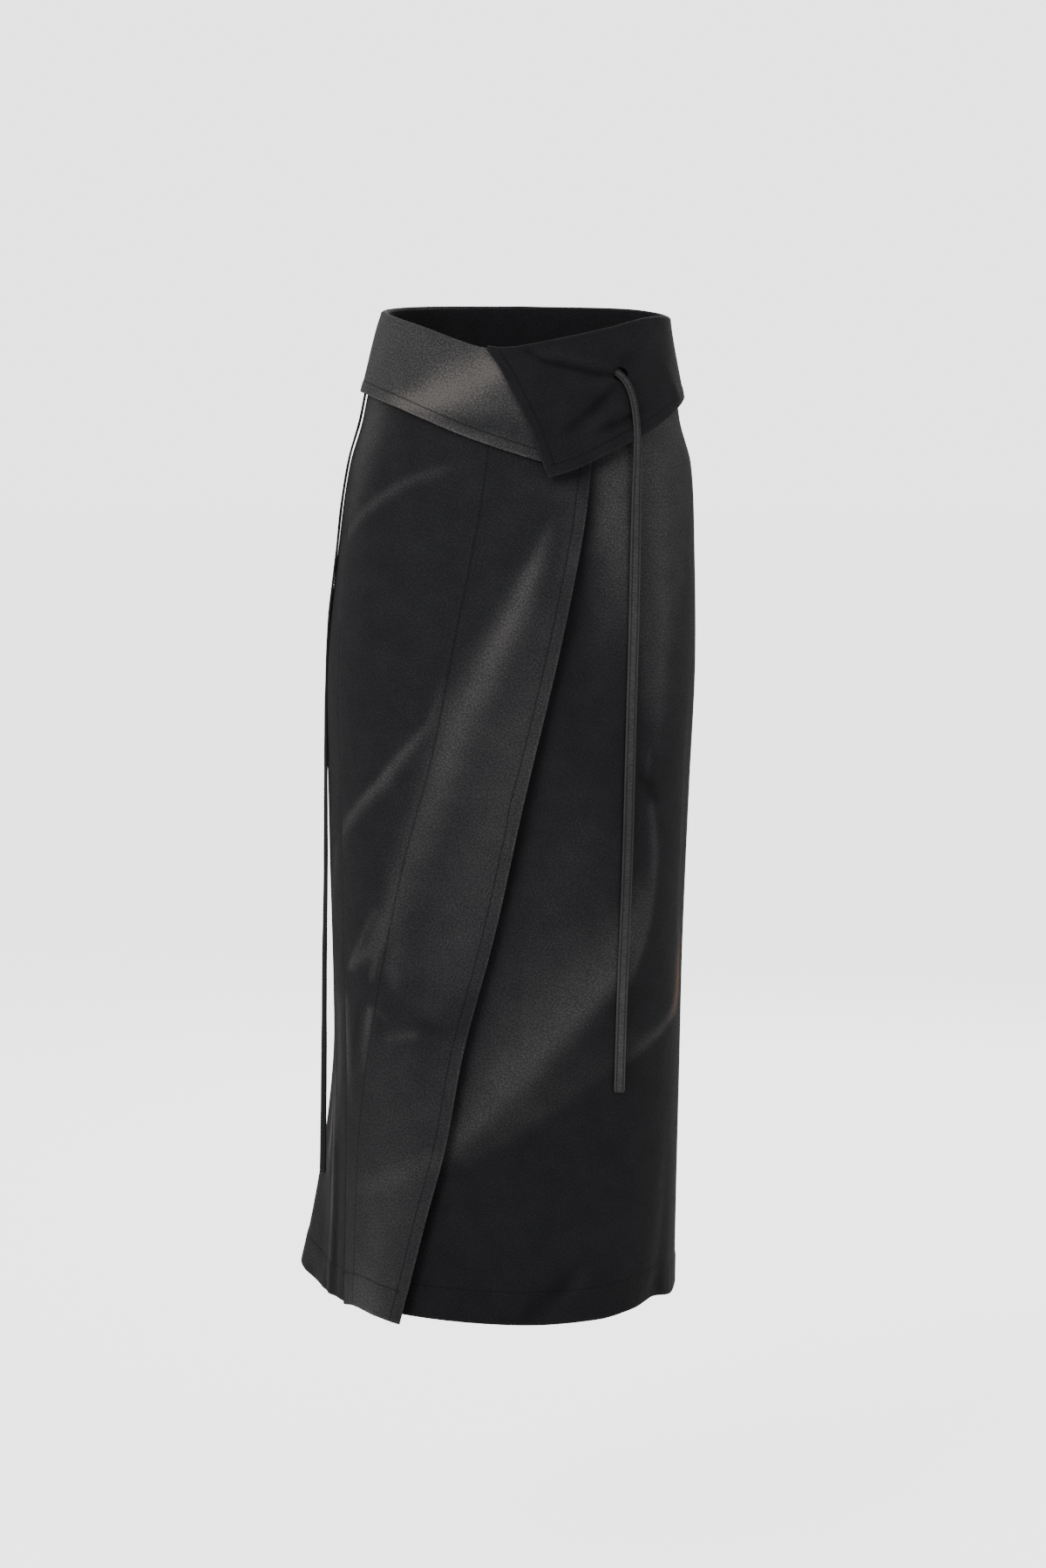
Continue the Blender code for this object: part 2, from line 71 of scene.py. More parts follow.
def linear_colour(hex_value):
    """An sRGB colour such as "#2b2b2c" as linear red, green, blue and alpha."""
    levels = [int(hex_value[place:place + 2], 16) / 255 for place in (1, 3, 5)]
    linear = [level / 12.92 if level <= 0.04045 else ((level + 0.055) / 1.055) ** 2.4 for level in levels]
    return (*linear, 1.0)


def new_material(name):
    """An empty material, whose nodes are added one by one."""
    material = bpy.data.materials.new(name)
    material.use_nodes = True
    material.node_tree.nodes.clear()
    return material


def add_node(material, kind, inputs, **settings):
    """One node of a material: its settings, then each input as a number or as what feeds it."""
    node = material.node_tree.nodes.new(kind)
    for name, value in settings.items():
        setattr(node, name, value)
    for name, value in inputs.items():
        if isinstance(value, bpy.types.NodeSocket):
            material.node_tree.links.new(value, node.inputs[name])
        else:
            node.inputs[name].default_value = value
    return node


floor_mesh = bmesh.new()
bmesh.ops.create_grid(floor_mesh, x_segments=1, y_segments=1, size=FLOOR_SIZE)
bmesh.ops.translate(floor_mesh, verts=floor_mesh.verts, vec=(0.0, 0.0, FLOOR_HEIGHT))
floor_data = bpy.data.meshes.new("studio_floor")
floor_mesh.to_mesh(floor_data)
floor_mesh.free()
studio_floor = bpy.data.objects.new("studio_floor", floor_data)
bpy.context.scene.collection.objects.link(studio_floor)
floor_paint = new_material("matt_white_floor_paint")
floor_shader = add_node(floor_paint, "ShaderNodeBsdfPrincipled", {
    "Base Color": linear_colour("#f4f4f3"), "Roughness": 0.9, "Specular IOR Level": 0.1,
})
floor_seen = add_node(floor_paint, "ShaderNodeLightPath", {})
floor_glow = add_node(floor_paint, "ShaderNodeEmission", {
    "Color": (*ROOM_COLOUR, 1.0), "Strength": SEEN_BRIGHTER,
})
floor_lit = add_node(floor_paint, "ShaderNodeAddShader", {
    0: floor_shader.outputs["BSDF"], 1: floor_glow.outputs["Emission"],
})
floor_mix = add_node(floor_paint, "ShaderNodeMixShader", {
    "Fac": floor_seen.outputs["Is Camera Ray"],
    1: floor_shader.outputs["BSDF"], 2: floor_lit.outputs["Shader"],
})
add_node(floor_paint, "ShaderNodeOutputMaterial", {"Surface": floor_mix.outputs["Shader"]})
floor_data.materials.append(floor_paint)

room = bpy.data.worlds.new("pale_room")
room.use_nodes = True
room_nodes = room.node_tree.nodes
room_nodes["Background"].inputs["Color"].default_value = (*ROOM_COLOUR, 1.0)
room_seen = room_nodes.new("ShaderNodeLightPath")
room_strength = room_nodes.new("ShaderNodeMath")
room_strength.operation = "MULTIPLY_ADD"
room_strength.inputs[1].default_value = SEEN_BRIGHTER
room_strength.inputs[2].default_value = ROOM_STRENGTH
room.node_tree.links.new(room_seen.outputs["Is Camera Ray"], room_strength.inputs[0])
room.node_tree.links.new(room_strength.outputs["Value"], room_nodes["Background"].inputs["Strength"])
bpy.context.scene.world = room

Lamp = namedtuple("Lamp", "name place size power")
LAMPS = (
    Lamp("softbox_left", (-1.9, -2.6, 1.5), 1.4, 75.0),
    Lamp("softbox_right", (2.3, -2.2, 0.5), 1.6, 28.0),
    Lamp("softbox_back", (0.8, 3.0, 1.0), 1.6, 50.0),
)
LAMPS_AIM = Vector((0.0, 0.0, -0.4))
for lamp in LAMPS:
    lamp_data = bpy.data.lights.new(lamp.name, "AREA")
    lamp_data.shape = "SQUARE"
    lamp_data.size = lamp.size
    lamp_data.energy = lamp.power
    softbox = bpy.data.objects.new(lamp.name, lamp_data)
    softbox.location = lamp.place
    softbox.rotation_euler = (LAMPS_AIM - Vector(lamp.place)).to_track_quat("-Z", "Y").to_euler()
    bpy.context.scene.collection.objects.link(softbox)


# Ties
# Each is a narrow strip of the same cotton twill, folded, turned in at its end and sewn flat
# with a row of topstitching along both edges. They are sewn in under the fold-over top.

TIE_WIDTH = 0.0100
TIE_THICKNESS = 0.0024
TIE_STEPS = 220
TIE_SIDES = 36
TIE_GIRTH = 0.024
TIE_SQUARE_ACROSS, TIE_SQUARE_UP = 0.45, 0.55
TIE_OPEN_SHARE = 16 / 55
TIE_WAVES = ((0.06, 61.0, 0.0), (0.05, 143.0, 1.0))
TIE_ROW_SHARE = 0.60
TIE_ROW_RISE, TIE_CROSS_RISE = 0.70, 0.92
TIE_GROOVE_SHARE = 0.16
TIE_GROOVE_DEPTH = 0.30
TIE_END_ROUND = 0.0016
TIE_END_ROW, TIE_TIP_ROW = 0.0085, 0.0022
TIE_ROWS_CROSS = 0.002
TIE_EDGE_WEAR, TIE_WEAR_POWER = 0.12, 8
STITCH_PITCH = 0.0031
STITCH_LENGTH = 0.0022
STITCH_RADIUS = 0.00026
STITCH_SUNK = 0.2
CURVE_STEPS = 24

# The weave on a map in mm. The ribs lean at 60 degrees and are 1.2 mm apart, and a speck is about
# 1.7 mm long. Real ribs and specks are about half that, and would not show. The swells are 25 mm.
MM_PER_METRE = 1000.0
RIB_LEAN = 30.0
RIB_WAVES = 0.2618
SPECKS_PER_MM = 0.60
SWELLS_PER_MM = 0.04
RIB_TONE, SWELL_TONE = 0.035, 0.20
SPECKS_UNWASHED = 0.2
GROOVE_HALF_WIDTH = 0.0012
# How wide and how deep the painted shade beside a row of sewing is.
SEWN_SHADE_HALF_WIDTH, SEWN_SHADE = 0.0011, 0.45
BROWNED = "#e0bda6"

TiePoint = namedtuple("TiePoint", "x y z facing")
TIE_RIGHT_ROUTE = (
    TiePoint(0.0818, -0.0850, -0.0208, 26.0),
    TiePoint(0.0848, -0.0848, -0.0216, 26.0),
    TiePoint(0.0882, -0.0864, -0.0235, 27.0),
    TiePoint(0.0922, -0.0886, -0.0275, 29.0),
    TiePoint(0.0962, -0.0893, -0.0340, 30.0),
    TiePoint(0.0996, -0.0892, -0.0430, 32.0),
    TiePoint(0.1020, -0.0889, -0.0550, 32.0),
    TiePoint(0.1036, -0.0897, -0.0690, 32.0),
    TiePoint(0.1042, -0.0915, -0.0840, 30.0),
    TiePoint(0.1040, -0.0922, -0.1050, 27.0),
    TiePoint(0.1032, -0.0930, -0.1350, 25.0),
    TiePoint(0.1015, -0.0963, -0.2340, 22.0),
    TiePoint(0.0985, -0.1000, -0.3510, 22.0),
    TiePoint(0.0955, -0.1030, -0.4700, 20.0),
    TiePoint(0.0912, -0.1065, -0.5800, 18.0),
    TiePoint(0.0887, -0.1095, -0.6700, 16.0),
)
TIE_LEFT_ROUTE = (
    TiePoint(-0.1381, -0.0080, -0.0200, -86.0),
    TiePoint(-0.1422, -0.0085, -0.0380, -86.0),
    TiePoint(-0.1480, -0.0090, -0.0660, -87.0),
    TiePoint(-0.1575, -0.0100, -0.0990, -88.0),
    TiePoint(-0.1645, -0.0110, -0.1400, -88.0),
    TiePoint(-0.1695, -0.0120, -0.1850, -86.0),
    TiePoint(-0.1765, -0.0125, -0.2450, -84.0),
    TiePoint(-0.1795, -0.0130, -0.3100, -82.0),
    TiePoint(-0.1803, -0.0135, -0.3900, -76.0),
    TiePoint(-0.1808, -0.0140, -0.4800, -72.0),
    TiePoint(-0.1822, -0.0145, -0.5600, -68.0),
    TiePoint(-0.1832, -0.0150, -0.6600, -62.0),
    TiePoint(-0.1848, -0.0155, -0.7620, -58.0),
)


def smooth_route(route, count):
    """Evenly spaced points and facings on a smooth curve through a route's points."""
    dense = []
    for index in range(len(route) - 1):
        before = route[max(index - 1, 0)]
        start, end = route[index], route[index + 1]
        after = route[min(index + 2, len(route) - 1)]
        for step in range(CURVE_STEPS):
            t = step / CURVE_STEPS
            dense.append([
                0.5 * (
                    2 * b + (c - a) * t
                    + (2 * a - 5 * b + 4 * c - d) * t**2
                    + (3 * b - a - 3 * c + d) * t**3
                )
                for a, b, c, d in zip(before, start, end, after)
            ])
    dense.append(list(route[-1]))
    dense = np.array(dense)
    walked = np.concatenate([[0.0], np.cumsum(np.linalg.norm(np.diff(dense[:, :3], axis=0), axis=1))])
    places = np.linspace(0.0, walked[-1], count)
    evenly = np.stack([np.interp(places, walked, dense[:, column]) for column in range(4)], axis=1)
    return evenly, walked[-1]


def soft_step(value):
    """0 below 0, 1 above 1, and a soft rise between."""
    value = np.clip(value, 0.0, 1.0)
    return value * value * (3.0 - 2.0 * value)


def tie_frames(points):
    """The way along, across and out of a tie at each of its points."""
    along = np.gradient(points[:, :3], axis=0)
    along /= np.linalg.norm(along, axis=1, keepdims=True)
    turn = np.radians(points[:, 3])
    out = np.stack([np.sin(turn), -np.cos(turn), np.zeros_like(turn)], axis=1)
    side = np.cross(out, along)
    side /= np.linalg.norm(side, axis=1, keepdims=True)
    return along, side, np.cross(along, side)


def finished_piece(name, mesh, material):
    """Turns a bmesh into a smooth object with its material, riding on the skirt."""
    data = bpy.data.meshes.new(name)
    mesh.to_mesh(data)
    mesh.free()
    data.shade_smooth()
    data.materials.append(material)
    piece = bpy.data.objects.new(name, data)
    bpy.context.scene.collection.objects.link(piece)
    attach(piece, "root")
    return piece


def sewn_row(mesh, points, outs):
    """Lays one row of stitches: short rounded lengths of thread along the points."""
    steps = np.linalg.norm(np.diff(points, axis=0), axis=1)
    walked = np.concatenate([[0.0], np.cumsum(steps)])
    for place in np.arange(STITCH_PITCH / 2, walked[-1], STITCH_PITCH):
        middle, ahead, out = (
            Vector([np.interp(at, walked, values[:, axis]) for axis in range(3)])
            for at, values in ((place, points), (place + STITCH_PITCH / 4, points), (place, outs))
        )
        along = (ahead - middle).normalized()
        side = out.cross(along).normalized()
        lifted = along.cross(side).normalized()
        turn = Matrix((along, side, lifted)).transposed().to_4x4()
        shape = Matrix.Diagonal((STITCH_LENGTH / 2, STITCH_RADIUS, STITCH_RADIUS, 1.0))
        bmesh.ops.create_icosphere(
            mesh, subdivisions=1, radius=1.0,
            matrix=Matrix.Translation(middle) @ turn @ shape,
        )


def twill_material(name, tones, speckle, roughness):
    """Cotton twill: fine slanting ribs, a speckle of worn threads, and its washed tone and painted shade
    from the cloth's paint.

    The attributes are painted on each piece: one is how far the dye has gone, from 0 to 1, with painted
    shade and painted highlights added in places; `warm` is how brown it has turned, and `seam` the distance
    to the nearest row of sewing.
    """
    material = new_material(name)
    cloth_map = add_node(material, "ShaderNodeUVMap", {}, uv_map="cloth")
    wash_and_shade, warmth, seam = (
        add_node(material, "ShaderNodeAttribute", {}, attribute_name=painted)
        for painted in ("wash_and_shade", "warm", "seam")
    )
    lean = add_node(material, "ShaderNodeMapping", {
        "Vector": cloth_map.outputs["UV"], "Rotation": (0.0, 0.0, math.radians(RIB_LEAN)),
        "Scale": (MM_PER_METRE, MM_PER_METRE, MM_PER_METRE),
    })
    ribs = add_node(material, "ShaderNodeTexWave", {
        "Vector": lean.outputs["Vector"], "Scale": RIB_WAVES,
        "Distortion": 0.9, "Detail": 1.5, "Detail Scale": 1.2,
    }, wave_type="BANDS", bands_direction="X")
    threads = add_node(material, "ShaderNodeTexNoise", {
        "Vector": lean.outputs["Vector"], "Scale": SPECKS_PER_MM, "Detail": 3.0, "Roughness": 0.65,
    })
    swells = add_node(material, "ShaderNodeTexNoise", {
        "Vector": lean.outputs["Vector"], "Scale": SWELLS_PER_MM, "Detail": 4.0, "Roughness": 0.6,
    })

    # Worn threads show as pale and dark specks, most where the dye has gone. Swells and ribs add a little.
    speck_tone = add_node(material, "ShaderNodeMath", {
        0: wash_and_shade.outputs["Fac"], 1: speckle, 2: speckle * SPECKS_UNWASHED,
    }, operation="MULTIPLY_ADD")
    tone = wash_and_shade.outputs["Fac"]
    for pattern, strength in ((threads, speck_tone.outputs[0]), (swells, SWELL_TONE), (ribs, RIB_TONE)):
        centred = add_node(material, "ShaderNodeMath", {
            0: pattern.outputs["Fac"], 1: 0.5,
        }, operation="SUBTRACT")
        tone = add_node(material, "ShaderNodeMath", {
            0: centred.outputs[0], 1: strength, 2: tone,
        }, operation="MULTIPLY_ADD").outputs[0]
    dye = add_node(material, "ShaderNodeValToRGB", {"Fac": tone})
    while len(dye.color_ramp.elements) < len(tones):
        dye.color_ramp.elements.new(0.5)
    for index, hex_value in enumerate(tones):
        dye.color_ramp.elements[index].position = index / (len(tones) - 1)
        dye.color_ramp.elements[index].color = linear_colour(hex_value)
    brown = add_node(material, "ShaderNodeMix", {
        "Factor": warmth.outputs["Fac"], 6: dye.outputs["Color"], 7: linear_colour(BROWNED),
    }, data_type="RGBA", blend_type="MULTIPLY")

    # A row of sewing pulls the cloth into a soft groove 2.4 mm wide, and the colour there is darkened as
    # painted shade.
    groove, shade = (
        add_node(material, "ShaderNodeMapRange", {
            "Value": seam.outputs["Fac"], "From Min": 0.0, "From Max": half_width,
            "To Min": least, "To Max": 1.0,
        }, interpolation_type="SMOOTHSTEP")
        for half_width, least in ((GROOVE_HALF_WIDTH, 0.0), (SEWN_SHADE_HALF_WIDTH, SEWN_SHADE))
    )
    sewn = add_node(material, "ShaderNodeMix", {
        "Factor": 1.0, 6: brown.outputs[2], 7: shade.outputs["Result"],
    }, data_type="RGBA", blend_type="MULTIPLY")

    # Cloth that has hung is never quite flat: swells of a few centimetres, under the weave.
    swell_bump = add_node(material, "ShaderNodeBump", {
        "Height": swells.outputs["Fac"], "Strength": 0.6, "Distance": 0.0022,
    })
    weave = add_node(material, "ShaderNodeMath", {
        0: ribs.outputs["Fac"], 1: threads.outputs["Fac"],
    }, operation="ADD")
    weave_bump = add_node(material, "ShaderNodeBump", {
        "Height": weave.outputs[0], "Normal": swell_bump.outputs["Normal"],
        "Strength": 0.5, "Distance": 0.00018,
    })
    groove_bump = add_node(material, "ShaderNodeBump", {
        "Height": groove.outputs["Result"], "Normal": weave_bump.outputs["Normal"],
        "Strength": 0.8, "Distance": 0.0004,
    })
    shader = add_node(material, "ShaderNodeBsdfPrincipled", {
        "Base Color": sewn.outputs[2], "Normal": groove_bump.outputs["Normal"], "Roughness": roughness,
        "Specular IOR Level": 0.10, "Sheen Weight": 0.03, "Sheen Roughness": 0.45,
    })
    add_node(material, "ShaderNodeOutputMaterial", {"Surface": shader.outputs["BSDF"]})
    return material


def thread_material(name, hex_value):
    """Polyester sewing thread: smooth, so it is a little shinier than the cotton."""
    material = new_material(name)
    shader = add_node(material, "ShaderNodeBsdfPrincipled", {
        "Base Color": linear_colour(hex_value), "Roughness": 0.6, "Specular IOR Level": 0.3,
    })
    add_node(material, "ShaderNodeOutputMaterial", {"Surface": shader.outputs["BSDF"]})
    return material


# Black cotton twill, garment washed. Its dye goes from black to grey, and here and there to brown.
CHARCOAL_TONES = ("#0d0d0f", "#1c1c1e", "#2e2e2f", "#434140", "#555250")
tie_twill = twill_material("washed_cotton_twill_tie", CHARCOAL_TONES, 0.9, 0.86)
tie_thread = thread_material("charcoal_polyester_thread_tie", "#111112")


# The right tie is as washed out as the middle of the skirt, and a little less half way down. The left
# one is nearly black. Each wash is given at distances along the tie.
TIE_RIGHT_WASH = (
    (0.0, 0.10, 0.25, 0.36, 0.43, 0.50, 0.57, 0.66), (0.54, 0.53, 0.57, 0.52, 0.47, 0.53, 0.62, 0.59),
)
TIE_LEFT_WASH = ((0.0, 0.75), (0.12, 0.12))


def tie_strip(name, node, route, narrow_start, wash_and_shade):
    """One tie: a flat strip round its route, sunk along its two rows of stitches."""
    points, length = smooth_route(route, TIE_STEPS + 1)
    along, side, out = tie_frames(points)
    gone = np.linspace(0.0, length, TIE_STEPS + 1)
    opened = soft_step(gone / (length * TIE_OPEN_SHARE))
    left = length - gone
    close = np.sqrt(np.clip(1.0 - np.clip(1.0 - left / TIE_END_ROUND, 0.0, 1.0) ** 2, 0.03, 1.0))
    half_width = TIE_WIDTH / 2 * (narrow_start + (1.0 - narrow_start) * opened)
    half_width = half_width - TIE_END_ROUND / 2 * (1.0 - close)
    uneven = 1.0 + sum(size * np.sin(gone * often + shift) for size, often, shift in TIE_WAVES)

    mesh = bmesh.new()
    cloth_uv = mesh.loops.layers.uv.new("cloth")
    layers = [mesh.verts.layers.float.new(layer) for layer in ("wash_and_shade", "warm", "seam")]
    bmesh.ops.create_grid(mesh, x_segments=TIE_SIDES, y_segments=TIE_STEPS, size=0.5)
    for vertex in mesh.verts:
        turn = 2.0 * math.pi * (vertex.co.x + 0.5)
        step = round((vertex.co.y + 0.5) * TIE_STEPS)
        across = math.copysign(abs(math.cos(turn)) ** TIE_SQUARE_ACROSS, math.cos(turn))
        up = math.copysign(abs(math.sin(turn)) ** TIE_SQUARE_UP, math.sin(turn))
        from_row = (abs(across) - TIE_ROW_SHARE) / TIE_GROOVE_SHARE
        sunk = 1.0 - TIE_GROOVE_DEPTH * math.exp(-from_row**2)
        deep = TIE_THICKNESS / 2 * up * sunk * close[step] * uneven[step]
        vertex.co = points[step, :3] + side[step] * (half_width[step] * across) + out[step] * deep
        paled = np.interp(gone[step], *wash_and_shade) + TIE_EDGE_WEAR * abs(across) ** TIE_WEAR_POWER
        values = (paled, 0.0, abs(abs(across) - TIE_ROW_SHARE) * half_width[step])
        for layer, value in zip(layers, values):
            vertex[layer] = value
    for face in mesh.faces:
        turns = [loop.vert.index % (TIE_SIDES + 1) for loop in face.loops]
        steps = [loop.vert.index // (TIE_SIDES + 1) for loop in face.loops]
        for loop, turn, step in zip(face.loops, turns, steps):
            loop[cloth_uv].uv = (turn / TIE_SIDES * TIE_GIRTH, gone[step])
    bmesh.ops.remove_doubles(mesh, verts=mesh.verts, dist=1e-6)
    bmesh.ops.holes_fill(mesh, edges=[edge for edge in mesh.edges if edge.is_boundary], sides=0)
    bmesh.ops.recalc_face_normals(mesh, faces=mesh.faces)
    strip = finished_piece(name, mesh, tie_twill)
    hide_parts(node)

    rows = bmesh.new()
    for face_side in (1.0, -1.0):
        for edge_side in (1.0, -1.0):
            shift = side * (half_width * TIE_ROW_SHARE * edge_side)[:, None]
            rise = out * (TIE_THICKNESS / 2 * TIE_ROW_RISE * uneven * face_side)[:, None]
            kept = left > TIE_END_ROW - TIE_ROWS_CROSS
            sewn_row(rows, (points[:, :3] + shift + rise)[kept], (out * face_side)[kept])
    shares = np.linspace(-TIE_ROW_SHARE, TIE_ROW_SHARE, 7)
    for face_side in (1.0, -1.0):
        for row_place in (TIE_END_ROW, TIE_TIP_ROW):
            step = int(np.argmin(np.abs(left - row_place)))
            rise = out[step] * (TIE_THICKNESS / 2 * TIE_CROSS_RISE * face_side)
            across = points[step, :3] + side[step] * (half_width[step] * shares)[:, None] + rise
            sewn_row(rows, across, np.repeat(out[step:step + 1] * face_side, len(shares), axis=0))
    stitches = finished_piece(f"{name}_topstitching", rows, tie_thread)


tie_strip("tie_right_strip", "tie_right", TIE_RIGHT_ROUTE, 0.6, TIE_RIGHT_WASH)
tie_strip("tie_left_strip", "tie_left", TIE_LEFT_ROUTE, 1.0, TIE_LEFT_WASH)


# Back panel
# One piece of mid-weight cotton twill, washed black, that reaches round from side seam to side
# seam. Its hem is turned up 30 mm inside and stitched once. At the left it falls in a deep soft fold.

WALL = 0.0012
SEAM_GAP = 0.00002
LAYER_STEP = WALL + 0.0009
FULLNESS = 0.025
FOLD_LIMIT = 1.1
ANGLE_STEP = 0.5
SEARCH_ROUNDS = 22
PLACE_ROUNDS = 5
ARC_STEPS = 12
ROLL_RADIUS = 0.0027
HEM_DEPTH = 0.030
HEM_ROWS = 8
HEM_SWELL = 0.0006
HEM_SOFTENS = 0.004
RIM_ROUND = 0.00045
RIM_ANGLE = 50.0
FAR_FROM_SEAM = 0.02
NO_BAND = (0, 0.0)

# Tones are given as levels of grey, 20 where the dye is whole and 100 where it has gone.
BLACKEST, PALEST = 20.0, 100.0
INSIDE_LEVEL = 12.0
AT_THE_EDGE = 0.999
FULLY_BROWN = 30.0
STROKE_FADE = 1.1

# Sections of the body: half widths to the left and right and depths to the front and back
Section = namedtuple("Section", "height left right front back")
SECTIONS = (
    Section(height=0.045, left=0.1190, right=0.1300, front=0.089, back=0.095),
    Section(height=0.015, left=0.1285, right=0.1330, front=0.095, back=0.100),
    Section(height=-0.039, left=0.1400, right=0.1420, front=0.102, back=0.108),
    Section(height=-0.068, left=0.1455, right=0.1462, front=0.105, back=0.112),
    Section(height=-0.105, left=0.1555, right=0.1560, front=0.108, back=0.116),
    Section(height=-0.180, left=0.1655, right=0.1595, front=0.113, back=0.121),
    Section(height=-0.290, left=0.1770, right=0.1605, front=0.118, back=0.124),
    Section(height=-0.400, left=0.1760, right=0.1555, front=0.121, back=0.124),
    Section(height=-0.545, left=0.1742, right=0.1498, front=0.125, back=0.125),
    Section(height=-0.665, left=0.1722, right=0.1472, front=0.128, back=0.127),
    Section(height=-0.815, left=0.1740, right=0.1436, front=0.133, back=0.130),
    Section(height=-0.885, left=0.1760, right=0.1420, front=0.1355, back=0.132),
)

# Soft folds that grow towards the hem
Fold = namedtuple("Fold", "angle half_width start full amount")
FOLDS = (
    Fold(angle=-122.0, half_width=46.0, start=-0.46, full=-0.88, amount=0.061),
    Fold(angle=57.0, half_width=15.0, start=-0.78, full=-0.88, amount=-0.004),
    Fold(angle=150.0, half_width=26.0, start=-0.35, full=-0.88, amount=0.010),
    Fold(angle=104.0, half_width=20.0, start=-0.45, full=-0.88, amount=0.004),
)

# Lines round the body, lines down it and seams: a height at an angle, or an angle at a height
Line = namedtuple("Line", "angle height")
Seam = namedtuple("Seam", "height angle")
HEM_LINE = (
    Line(-180.0, -0.8670), Line(-145.0, -0.8530), Line(-122.0, -0.8500), Line(-104.0, -0.8630),
    Line(-88.0, -0.8740), Line(-67.0, -0.8750), Line(-45.0, -0.8735), Line(0.0, -0.8785),
    Line(30.0, -0.8760), Line(44.0, -0.8715), Line(58.0, -0.8670), Line(75.0, -0.8710),
    Line(140.0, -0.8690), Line(180.0, -0.8670),
)
FOLD_LINE = (
    Line(-180.0, 0.042), Line(-135.0, 0.041), Line(-90.0, 0.0355), Line(-67.0, 0.0305),
    Line(-43.0, 0.0205), Line(-15.0, 0.0032), Line(-5.0, 0.0008), Line(14.0, 0.0085),
    Line(33.0, 0.0178), Line(52.0, 0.0270), Line(70.0, 0.0300), Line(90.0, 0.0300),
    Line(135.0, 0.0390), Line(180.0, 0.0420),
)
LEFT_SIDE_SEAM = (
    Seam(0.050, -80.0), Seam(-0.100, -77.0), Seam(-0.220, -69.3), Seam(-0.400, -67.3), Seam(-0.890, -67.3),
)
RIGHT_SIDE_SEAM = (Seam(0.050, 80.0), Seam(-0.240, 77.0), Seam(-0.890, 77.0))

# Brush dabs join into a stroke: where each lies, its half widths to the left and right in mm, and
# how much it adds there: levels of grey for the dye and for painted shade and highlights, or mm for a
# ridge. `warm` is its brown.
Dab = namedtuple("Dab", "angle height left right amount warm", defaults=(0.0,))

# Gentle hollows and swells that all the layers share
DRAPE = (
    (Dab(-82.0, -0.62, 8, 9, 0.2), Dab(-82.5, -0.70, 8, 9, 1.6), Dab(-82.0, -0.78, 8, 9, 2.6),
     Dab(-81.5, -0.89, 8, 9, 2.8)),
    (Dab(-95.0, -0.62, 14, 14, -0.4), Dab(-96.0, -0.72, 14, 14, -2.6), Dab(-95.5, -0.80, 14, 14, -3.8),
     Dab(-95.0, -0.89, 14, 14, -3.8)),
    (Dab(-87.0, -0.06, 24, 24, 0.8), Dab(-87.0, -0.13, 24, 24, 2.4), Dab(-87.0, -0.24, 24, 24, 2.9),
     Dab(-87.0, -0.36, 24, 24, 2.9),
     Dab(-87.0, -0.48, 24, 24, 2.2), Dab(-87.0, -0.58, 24, 24, 0.4)),
    (Dab(-52.0, -0.20, 16, 18, 0.5), Dab(-46.0, -0.34, 18, 18, 1.1), Dab(-50.0, -0.50, 18, 16, 0.7),
     Dab(-56.0, -0.60, 14, 14, 0.1)),
    (Dab(-30.0, -0.52, 14, 16, -0.3), Dab(-37.0, -0.60, 15, 16, -1.0), Dab(-44.0, -0.70, 16, 16, -0.8),
     Dab(-50.0, -0.80, 14, 14, -0.2)),
    (Dab(24.0, -0.12, 18, 18, -0.3), Dab(16.0, -0.30, 20, 20, -1.0), Dab(10.0, -0.48, 22, 20, -0.9),
     Dab(8.0, -0.62, 18, 18, -0.2)),
    (Dab(50.0, -0.10, 14, 14, 0.5), Dab(46.0, -0.24, 16, 16, 1.0), Dab(50.0, -0.40, 14, 16, 0.8),
     Dab(53.0, -0.52, 12, 14, 0.2)),
    (Dab(36.0, -0.56, 16, 14, 0.3), Dab(26.0, -0.66, 18, 14, 1.1), Dab(10.0, -0.73, 18, 14, 1.0),
     Dab(-4.0, -0.78, 14, 12, 0.2)),
    (Dab(66.0, -0.70, 12, 12, 0.2), Dab(64.0, -0.78, 12, 12, -1.2), Dab(60.0, -0.87, 12, 12, -2.0)),
    (Dab(32.0, -0.80, 14, 12, 0.2), Dab(30.0, -0.87, 14, 14, 1.4)),
    (Dab(108.0, -0.10, 18, 18, 0.1), Dab(112.0, -0.24, 20, 18, 1.3), Dab(108.0, -0.42, 18, 18, 0.9),
     Dab(104.0, -0.56, 16, 16, 0.2)),
    (Dab(132.0, -0.34, 18, 18, 0.2), Dab(128.0, -0.52, 20, 18, -1.4), Dab(124.0, -0.72, 20, 20, -2.2),
     Dab(122.0, -0.88, 20, 20, -2.8)),
    (Dab(168.0, -0.12, 22, 22, -0.3), Dab(172.0, -0.26, 24, 22, -1.4), Dab(176.0, -0.42, 22, 22, -0.6)),
    (Dab(196.0, -0.30, 20, 20, 0.3), Dab(190.0, -0.46, 20, 20, 1.6), Dab(186.0, -0.64, 20, 22, 2.2),
     Dab(184.0, -0.88, 22, 22, 3.0)),
    (Dab(222.0, -0.20, 22, 20, 0.6), Dab(216.0, -0.36, 22, 20, 1.2), Dab(212.0, -0.52, 20, 20, 0.3)),
    (Dab(206.0, -0.56, 18, 18, -0.4), Dab(208.0, -0.72, 20, 18, -2.2), Dab(208.0, -0.88, 20, 18, -3.0)),
    (Dab(252.0, -0.14, 16, 16, 0.2), Dab(250.0, -0.30, 18, 18, -1.2), Dab(246.0, -0.46, 18, 18, -0.5)),
)


